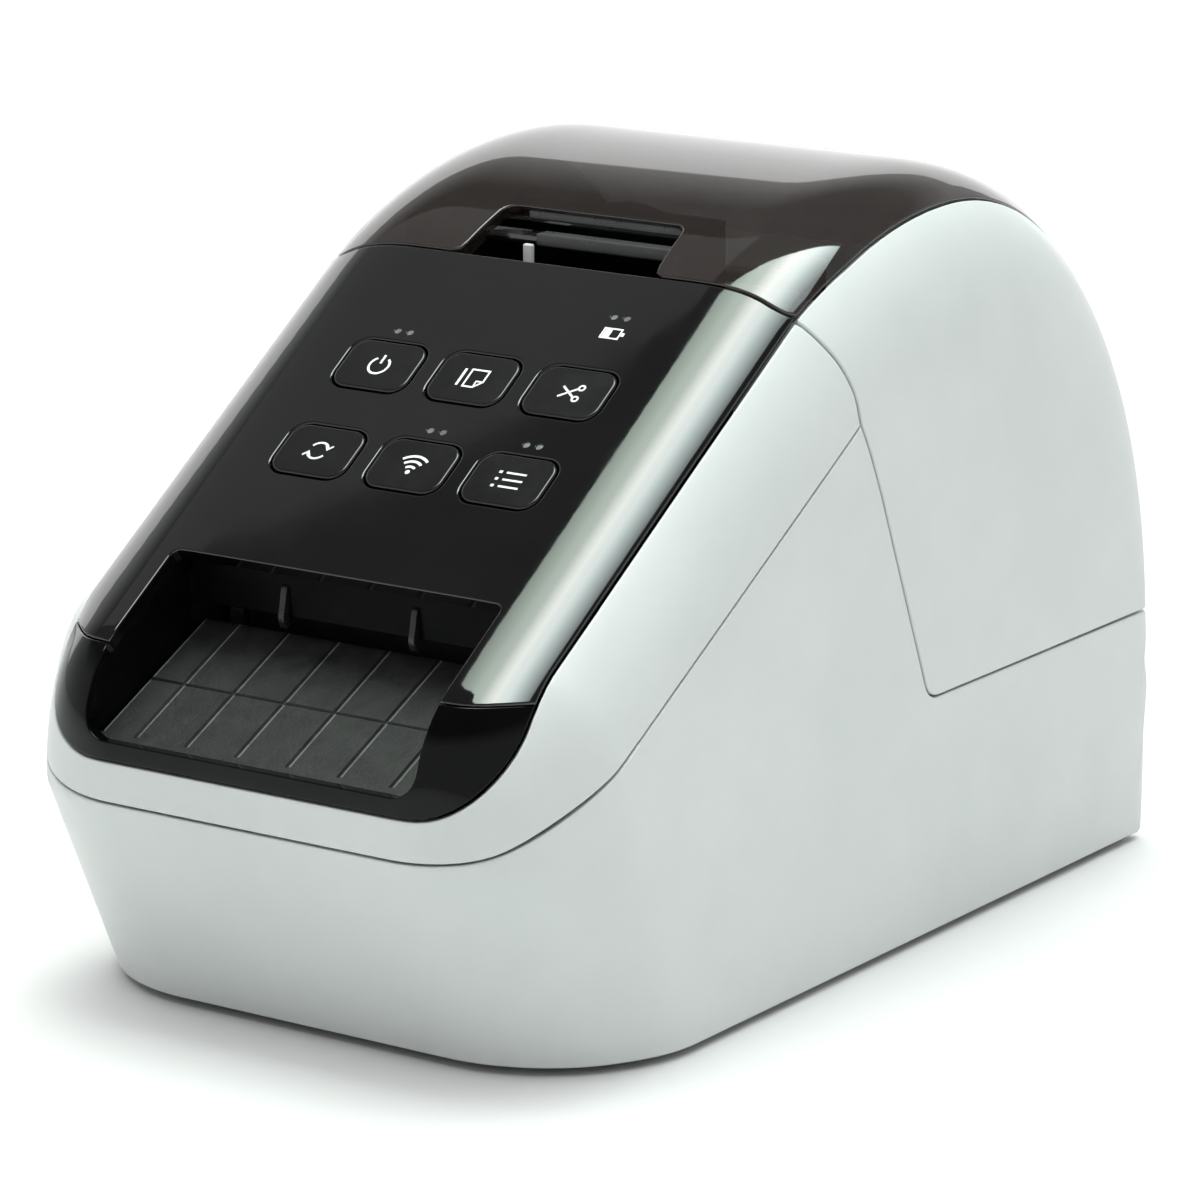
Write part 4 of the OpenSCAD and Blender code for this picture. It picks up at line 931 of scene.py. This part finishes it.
# Cheeks line the mouth on both sides, a little under the panel
CHEEK_T, CHEEK_UNDER = 1.9, 2.6
CHEEK_REAR_Y, SLOT_FRONT_Y = -66.0, -75.5
cheek = [(FRONT_Y + 2.6, BLACK_Z + 1), (FRONT_Y + 2.8, 60), (FRONT_Y + 5.2, 66)]
cheek += [(y, slope_z(y) - CHEEK_UNDER / math.cos(SLOPE)) for y in (-97.0, CHEEK_REAR_Y)]
cheek += [(CHEEK_REAR_Y, 78), (SLOT_FRONT_Y, 78), (SLOT_FRONT_Y, BLACK_Z + 1)]
for side, label in ((-1, "left"), (1, "right")):
    prism(label + "_mouth_cheek", cheek, lambda u, v, n, s=side: (s * (MOUTH_HALF + 1.8 - n), u, v), CHEEK_T,
          MOUTH_BLACK, ROOT, edge=0.3)

# ---------------------------------------------------------------- tray with raised cells
# The fourth value is the width of the flat strip after each groove that carries the painted highlight.
COLUMN, GROOVE, CHAMFER, LIT_STRIP, CELL_H = 11.3, 0.3, 0.28, 0.35, 0.4
TRAY_T = 2.6
# The first rows are an even strip LIP long, then the grooves start
EVEN_ROWS, LIP = 3, 2.2
ROW_SPLIT = 0.56
tray_half = MOUTH_HALF - 0.5
tray_len = math.dist(TRAY_FRONT, TRAY_BACK)
tray_turn = math.atan2(TRAY_BACK[1] - TRAY_FRONT[1], TRAY_BACK[0] - TRAY_FRONT[0])


def ridge_stops(marks):
    """Places and heights of the raised cells between marks: slanted sides, with a flat strip at the start
    that later gets a painted highlight.
    """
    rows = [(marks[0] - 0.01, 0.0)]
    for a, b in zip(marks, marks[1:]):
        a, b = a + GROOVE / 2, b - GROOVE / 2
        rows += [(a, 0.0), (a + CHAMFER, 1.0), (a + CHAMFER + LIT_STRIP, 1.0), (b - CHAMFER, 1.0), (b, 0.0)]
    return rows + [(marks[-1] + 0.01, 0.0)]


def on_tray(x, t, h):
    """A point t along the tray from its front edge and h over it."""
    c, k = math.cos(tray_turn), math.sin(tray_turn)
    return (x, TRAY_FRONT[0] + t * c - h * k, TRAY_FRONT[1] + t * k + h * c)


across_stops = ridge_stops([-tray_half] + [(i + 0.5) * COLUMN for i in range(-3, 3)] + [tray_half])
along_stops = [(0.3, 0.0), (0.3 + CHAMFER, 1.0), (LIP - 0.2, 1.0), (LIP, 1.0)]
along_stops += ridge_stops([LIP, ROW_SPLIT * tray_len, tray_len + 4.5])[2:]
wide, long = len(across_stops), len(along_stops)
base = wide * long
grid_v = [on_tray(x, t, CELL_H * (ht if row < EVEN_ROWS else min(ht, hx)) - CELL_H)
          for row, (t, ht) in enumerate(along_stops) for x, hx in across_stops]
grid_v += [on_tray(x, t, -TRAY_T) for t, _ in along_stops for x, _ in across_stops]
grid_f, tray_slots = [], []
for j in range(long - 1):
    for i in range(wide - 1):
        a, b = j * wide + i, base + j * wide + i
        grid_f += [(a, a + 1, a + wide + 1, a + wide), (b, b + wide, b + wide + 1, b + 1)]
        left, right = across_stops[i], across_stops[i + 1]
        flat = left[1] == right[1] == along_stops[j][1] == along_stops[j + 1][1] == 1
        # Narrow flat strips after the grooves take the lighter material: a painted highlight.
        painted_lit = flat and right[0] - left[0] < 2 * LIT_STRIP and j >= EVEN_ROWS
        tray_slots += [int(painted_lit), 0]
for i in range(wide - 1):
    a, b = i, (long - 1) * wide + i
    grid_f += [(a + 1, a, base + a, base + a + 1), (b, b + 1, base + b + 1, base + b)]
for j in range(long - 1):
    a, b = j * wide, j * wide + wide - 1
    grid_f += [(a, a + wide, base + a + wide, base + a), (b + wide, b, base + b, base + b + wide)]
tray_slots += [0] * (len(grid_f) - len(tray_slots))
tray = make_object("tray_surface", np.array(grid_v) * MM, grid_f, [TRAY_GREY, TRAY_PAINTED_HIGHLIGHT], ROOT,
                   slots=tray_slots, smooth=False)
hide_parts("output_tray")
box_with_round_edges("tray_front_wall", (-tray_half, TRAY_FRONT[0] + 0.3, 46),
                     (tray_half, TRAY_FRONT[0] + 1.9, 53), 0.3, TRAY_GREY, ROOT)

# ---------------------------------------------------------------- wall over the label slot
WALL_Y, WALL_T, WALL_UNDER, SLOT_TOP = -75.6, 1.2, 4.6, 72.8
RIB_X, RIB_W = 14.5, 1.2
wall_half = MOUTH_HALF - 0.3
wall_top = slope_z(WALL_Y) - WALL_UNDER
mouth_wall = box_with_round_edges("mouth_wall", (-wall_half, WALL_Y, SLOT_TOP),
                                  (wall_half, WALL_Y + WALL_T, wall_top), 0.35, MOUTH_BLACK, ROOT)
# Outline of a hooked rib: distance before the wall, height
RIB = [(-0.2, 78.8), (-0.2, 71.2), (0.6, 70.7), (1.5, 71.6), (1.7, 73.2), (1.2, 75.4), (0.9, 77.2),
       (0.5, 78.6)]
for side, label in ((-1, "left"), (1, "right")):
    prism(label + "_slot_rib", [(WALL_Y - out, z) for out, z in RIB],
          lambda u, v, n, s=side: (s * RIB_X - RIB_W / 2 + n, u, v), RIB_W, RIB_BLACK, ROOT, edge=0.25,
          step=1.0)
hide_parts("exit_guides")

# ---------------------------------------------------------------- cover
def cover_uv(y, z):
    """(s, v) of the point on the right side at (y, z)."""
    v = v_of_y(y)
    _, top, _, _ = profile(np.array([v]))
    return float(s_of_drop(float(top[0]) - z)), v


def window_side(margin, start):
    """The window's right edge from the front to its rear edge, as (s, v)."""
    out = []
    for v in np.linspace(v_of_y(start), V_REAR + 40, 90):
        y, z, _, _ = profile(np.array([v]))
        x = float(black_half(float(y[0]))) - margin
        if float(z[0]) - float(np.interp(x, _x, _drop)) < WINDOW_REAR_Z + margin:
            break
        out.append((s_of_x(x), float(v)))
    return out


gap_top_y = COVER_GAP_Y + 1.7
top_drop = float(np.interp(float(black_half(gap_top_y)), _x, _drop))
gap_pts = [(y, z) for y, z in GAP_LINE if z < float(crown(gap_top_y)) - top_drop - 0.3]
edge_ys = np.linspace(APEX[0], COVER_EDGE[-1][0], SIDE_STEPS)
cover_right = [cover_uv(y, z) for y, z in gap_pts[::-1]]
cover_right += [cover_uv(y, float(side_line_z(y))) for y in edge_ys[1:-1]]
cover_right += [cover_uv(y, z) for y, z in COVER_EDGE[::-1]]
# The lower edge rises behind LIFT_Y, so that the rear lip clears the housing when the cover swings
LIFT_Y, LIFT_SLOPE = 103.8, 1.0
v_low = V_REAR + ((REAR_END_Z - COVER_Z - LIFT_SLOPE * (REAR_END_Y - LIFT_Y))
                  / (math.cos(REAR_LEAN) + LIFT_SLOPE * math.sin(REAR_LEAN)))


def cover_low_s(v):
    """Where the section at v meets the cover's lower edge, as s."""
    run = np.linspace(0, 160, 641)
    p, _ = on_top(np.stack([run, np.full(len(run), v)], 1))
    over = p[:, 2] - COVER_Z - LIFT_SLOPE * np.maximum(p[:, 1] - LIFT_Y, 0)
    i = int(np.argmax(over <= 0))
    if i == 0:
        return 0.0
    return float(run[i - 1] + (run[i] - run[i - 1]) * over[i - 1] / (over[i - 1] - over[i]))


for v in np.linspace(cover_right[-1][1] + 2.5, v_low, 90):
    cover_right.append((cover_low_s(v), float(v)))
outer = cover_right + mirrored(cover_right[:-1])
rear_half = float(black_half(80))


def rear_edge(x, z):
    """(s, v) of the point of the rear wall at (x, z)."""
    z = z + float(np.interp(abs(x), _x, _drop))
    return s_of_x(x), V_REAR + (REAR_END_Z - z) / math.cos(REAR_LEAN)


inner_side = window_side(0.0, gap_top_y)
window_back = [rear_edge(float(x), WINDOW_REAR_Z) for x in np.linspace(-rear_half, rear_half, 50)]
cover_loop = outer + [(-s, v) for s, v in inner_side] + window_back + inner_side[::-1]
cover_shell = patch("cover_shell_white", [cover_loop], on_top, PEARL, COVER, edge=0.4, step=2.8, shrink=GAP)
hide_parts("cover_shell")

WINDOW_GAP, NOTCH_FLARE, NOTCH_R = 0.25, 2.4, 3.0
win_side = window_side(WINDOW_GAP, gap_top_y + 0.4)
window_half_w = float(black_half(gap_top_y)) - WINDOW_GAP
front_right = [(s_of_x(float(x)), v_of_y(rear_of_panel(float(x)) + 2 * GAP))
               for x in np.linspace(NOTCH_HALF + NOTCH_FLARE, window_half_w, 18)[:-1]]
notch = arc(NOTCH_HALF - 1.0 - NOTCH_R, v_of_y(NOTCH_BACK) - NOTCH_R, NOTCH_R, 90, 0, 6)
notch += [(NOTCH_HALF, v_of_y(COVER_GAP_Y + 2.6)), (NOTCH_HALF + 0.5, v_of_y(COVER_GAP_Y + 0.9))]
back_right = [rear_edge(float(x), WINDOW_REAR_Z + WINDOW_GAP)
              for x in np.linspace(rear_half - WINDOW_GAP, 0, 30)]
window_half = notch + front_right + win_side + back_right
window_loop = window_half + mirrored(window_half[:-1])
window = patch("roll_window", [window_loop], on_top, SMOKE, COVER, edge=0.4, step=3.0, inner=SMOKE_BACK)
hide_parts("cover_window")

# Parts in the finger notch: a rim under its rear edge, a bar across it and a small tab
rim_x = NOTCH_HALF - 2.2
rim_z = crown(NOTCH_BACK)
box_with_round_edges("notch_rim", (-rim_x + 3.6, NOTCH_BACK + 0.2, rim_z - 2.6),
                     (rim_x, NOTCH_BACK + 1.6, rim_z - 0.75), 0.5, GRIP_GREY, COVER)
box_with_round_edges("grip_bar", (-rim_x + 9, -3.85, 129.8), (rim_x + 1.4, -0.35, 132.2), 0.4, GRIP_GREY,
                     COVER)
box_with_round_edges("grip_tab", (-11.4, -6.6, 126.7), (-9.4, -5.4, 130.5), 0.35, TAB_GREY, COVER)

# ---------------------------------------------------------------- label roll
roll_outline = [(-31, 14.6), (-31, 35.6), (-30.6, 36), (30.6, 36), (31, 35.6), (31, 14.6)]
roll = lathe("wound_labels", roll_outline, (0, ROLL_Y, ROLL_Z), [PAPER, LABEL_EDGE], [1, 1, 0, 1, 1, 0],
             "roll", 120)
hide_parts("label_roll")

# ---------------------------------------------------------------- CAD pieces that show as they are
FINISH = [
    (STEEL, "case_screws platen_shaft idler_shaft feed_motor head_carrier head_pivot_shaft head_springs"
            " spring_bridge cutter_blade cutter_motor key_switches board_screws usb_socket cover_screws"
            " hinge_pins"),
    # Painted shade: the steel parts inside the mouth get a near-black steel.
    (STEEL_PAINTED_SHADE, "left_side_plate right_side_plate fixed_blade cutter_bar"),
    (DARK_PLASTIC, "bottom_plate roll_bay left_roll_flange right_roll_flange power_inlet cover_switch"),
    (ACETAL, "platen_bushes platen_gear idler_gear"),
    (BRASS, "motor_pinion cutter_pinion"),
    (BOARD, "key_board main_board"),
    (CHIP, "board_parts wireless_module"),
    (PEARL, "cover_hinge_bar hinge_brackets"),
    (FOOT, "rubber_feet"),
    (ROLLER, "platen_roller"),
    (CERAMIC, "print_head"),
    (ALUMINIUM, "head_heatsink"),
    (LENS, "lamp_lenses"),
    (CARD, "roll_core"),
    (BLACK, "cover_grip"),
]
THIN_BEVEL, WIDE_BEVEL = 0.12, 0.3
WIDE_EDGES = ("cover_grip", "rubber_feet", "roll_bay")


def finish_cad_piece(obj, material, width):
    obj.data.materials.clear()
    obj.data.materials.append(material)
    obj.modifiers.new("weld", "WELD").merge_threshold = 1e-6
    bevel = obj.modifiers.new("soft_edges", "BEVEL")
    bevel.width = width * MM
    bevel.segments = 2
    bevel.limit_method = "ANGLE"
    bevel.angle_limit = math.radians(35)


for material, names in FINISH:
    for name in names.split():
        finish_cad_piece(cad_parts[name], material, WIDE_BEVEL if name in WIDE_EDGES else THIN_BEVEL)

# ---------------------------------------------------------------- studio
floor_mat = surface("studio_floor", (0.72, 0.72, 0.72), (0.75, 0.75, 0.75), (0.7, 0.85), 3)


def stage_mesh(name, points, material, camera=True):
    mesh = bpy.data.meshes.new(name)
    mesh.from_pydata(points, [], [tuple(range(len(points)))])
    mesh.materials.append(material)
    obj = bpy.data.objects.new(name, mesh)
    bpy.context.scene.collection.objects.link(obj)
    obj.visible_camera = camera
    return obj


def light_material(name, strength, stops=None, span=(-0.5, 0.5)):
    """An even light, or one graded along x over span; stops are (place in span, colour)."""
    mat = bpy.data.materials.new(name)
    mat.use_nodes = True
    tree = mat.node_tree
    tree.nodes.clear()
    emit = node(tree, "Emission", Strength=strength)
    node(tree, "OutputMaterial", [(0, emit.outputs[0])])
    if stops:
        split = node(tree, "SeparateXYZ", [(0, node(tree, "TexCoord").outputs["Object"])])
        place = node(tree, "MapRange", [("Value", split.outputs[0])], From_Min=span[0], From_Max=span[1])
        tree.links.new(ramp(tree, place.outputs[0], stops), emit.inputs["Color"])
    return mat


def flat_at(z, points):
    """Points in millimetres laid flat at height z."""
    return [(x * MM, y * MM, z) for x, y in points]


FLOOR_HALF = 4000
stage_mesh("floor", flat_at(0, [(-FLOOR_HALF, -FLOOR_HALF), (FLOOR_HALF, -FLOOR_HALF),
                                (FLOOR_HALF, FLOOR_HALF), (-FLOOR_HALF, FLOOR_HALF)]), floor_mat)
# A softbox over the printer, brightest in the middle; its outline is what the glossy top mirrors
BOX_Z = 0.9
BOX = [(-378, -84), (-378, -66), (-367, -42), (-361, -18), (-357, -4), (-352, 22), (-348, 50), (-352, 87),
       (-309, 148), (-221, 213), (-60, 276), (209, 405), (304, 297), (357, 202), (343, 119), (318, 40),
       (312, -40), (305, -112), (330, -230), (-225, -230), (-240, -170), (-330, -140), (-368, -110)]
GLOW = [(0.07, (0.24, 0.28, 0.25)), (0.15, (0.33, 0.39, 0.34)), (0.2, (0.40, 0.47, 0.42)),
        (0.275, (0.46, 0.53, 0.47)), (0.355, (0.74, 0.78, 0.74)), (0.41, (0.87, 0.92, 0.87)),
        (0.475, (0.80, 0.86, 0.83)), (0.53, (0.75, 0.83, 0.80)), (0.585, (0.62, 0.70, 0.68)),
        (0.645, (0.46, 0.54, 0.53)), (0.715, (0.33, 0.38, 0.37)), (0.785, (0.19, 0.22, 0.22))]
GREY_CARD = [(-420, 82), (-477, 89), (-498, 79), (-519, 62), (-549, 44), (-572, 30), (-604, 14), (-632, -1),
             (-670, -12), (-1000, -12), (-1000, 400), (-420, 400)]
stage_mesh("grey_card", flat_at(BOX_Z, GREY_CARD), light_material("grey_card_light", 0.3), camera=False)
stage_mesh("softbox", flat_at(BOX_Z, BOX), light_material("softbox_light", 11.5, GLOW, (-0.43, 0.5)),
           camera=False)
ceiling = stage_mesh("ceiling", flat_at(2.8, [(-2400, -2200), (2400, -2200), (2400, 2800), (-2400, 2800)]),
                     light_material("ceiling_fill", 2.15), camera=False)
ceiling.visible_glossy = False
# A standing card behind, to the left, mirrored by the crest
CARD_X, CARD_Y, CARD_DX, CARD_DY = -0.65 * 1.7, 0.76 * 1.7, 0.9, 0.77
stage_mesh("rear_card", [(CARD_X + side * CARD_DX, CARD_Y + side * CARD_DY, z)
                         for side, z in ((-1, 0.05), (1, 0.05), (1, 1.1), (-1, 1.1))],
           light_material("rear_card_light", 1.8), camera=False)

world = bpy.data.worlds.new("studio")
bpy.context.scene.world = world
world.use_nodes = True
sky = world.node_tree
up = node(sky, "SeparateXYZ", [(0, node(sky, "TexCoord").outputs["Generated"])]).outputs[2]
sky_colour = ramp(sky, up, [(0.5, (0.6, 0.615, 0.61)), (0.65, (0.12, 0.12, 0.12))])
sky.links.new(sky_colour, sky.nodes["Background"].inputs["Color"])

camera_data = bpy.data.cameras.new("camera")
camera_data.lens = 164.67
camera_data.sensor_width = 36
camera_data.clip_end = 50
camera = bpy.data.objects.new("camera", camera_data)
bpy.context.scene.collection.objects.link(camera)
azimuth, elevation, distance = math.radians(34.58), math.radians(14.18), 1.03766
target = Vector((0.00161, 0, 0.06251))
back = Vector((math.sin(azimuth) * math.cos(elevation), -math.cos(azimuth) * math.cos(elevation),
               math.sin(elevation)))
camera.location = target + back * distance
camera.rotation_mode = "QUATERNION"
camera.rotation_quaternion = (-back).to_track_quat("-Z", "Y")
bpy.context.scene.camera = camera
bpy.context.scene.view_settings.view_transform = "Standard"
bpy.context.scene.view_settings.look = "None"
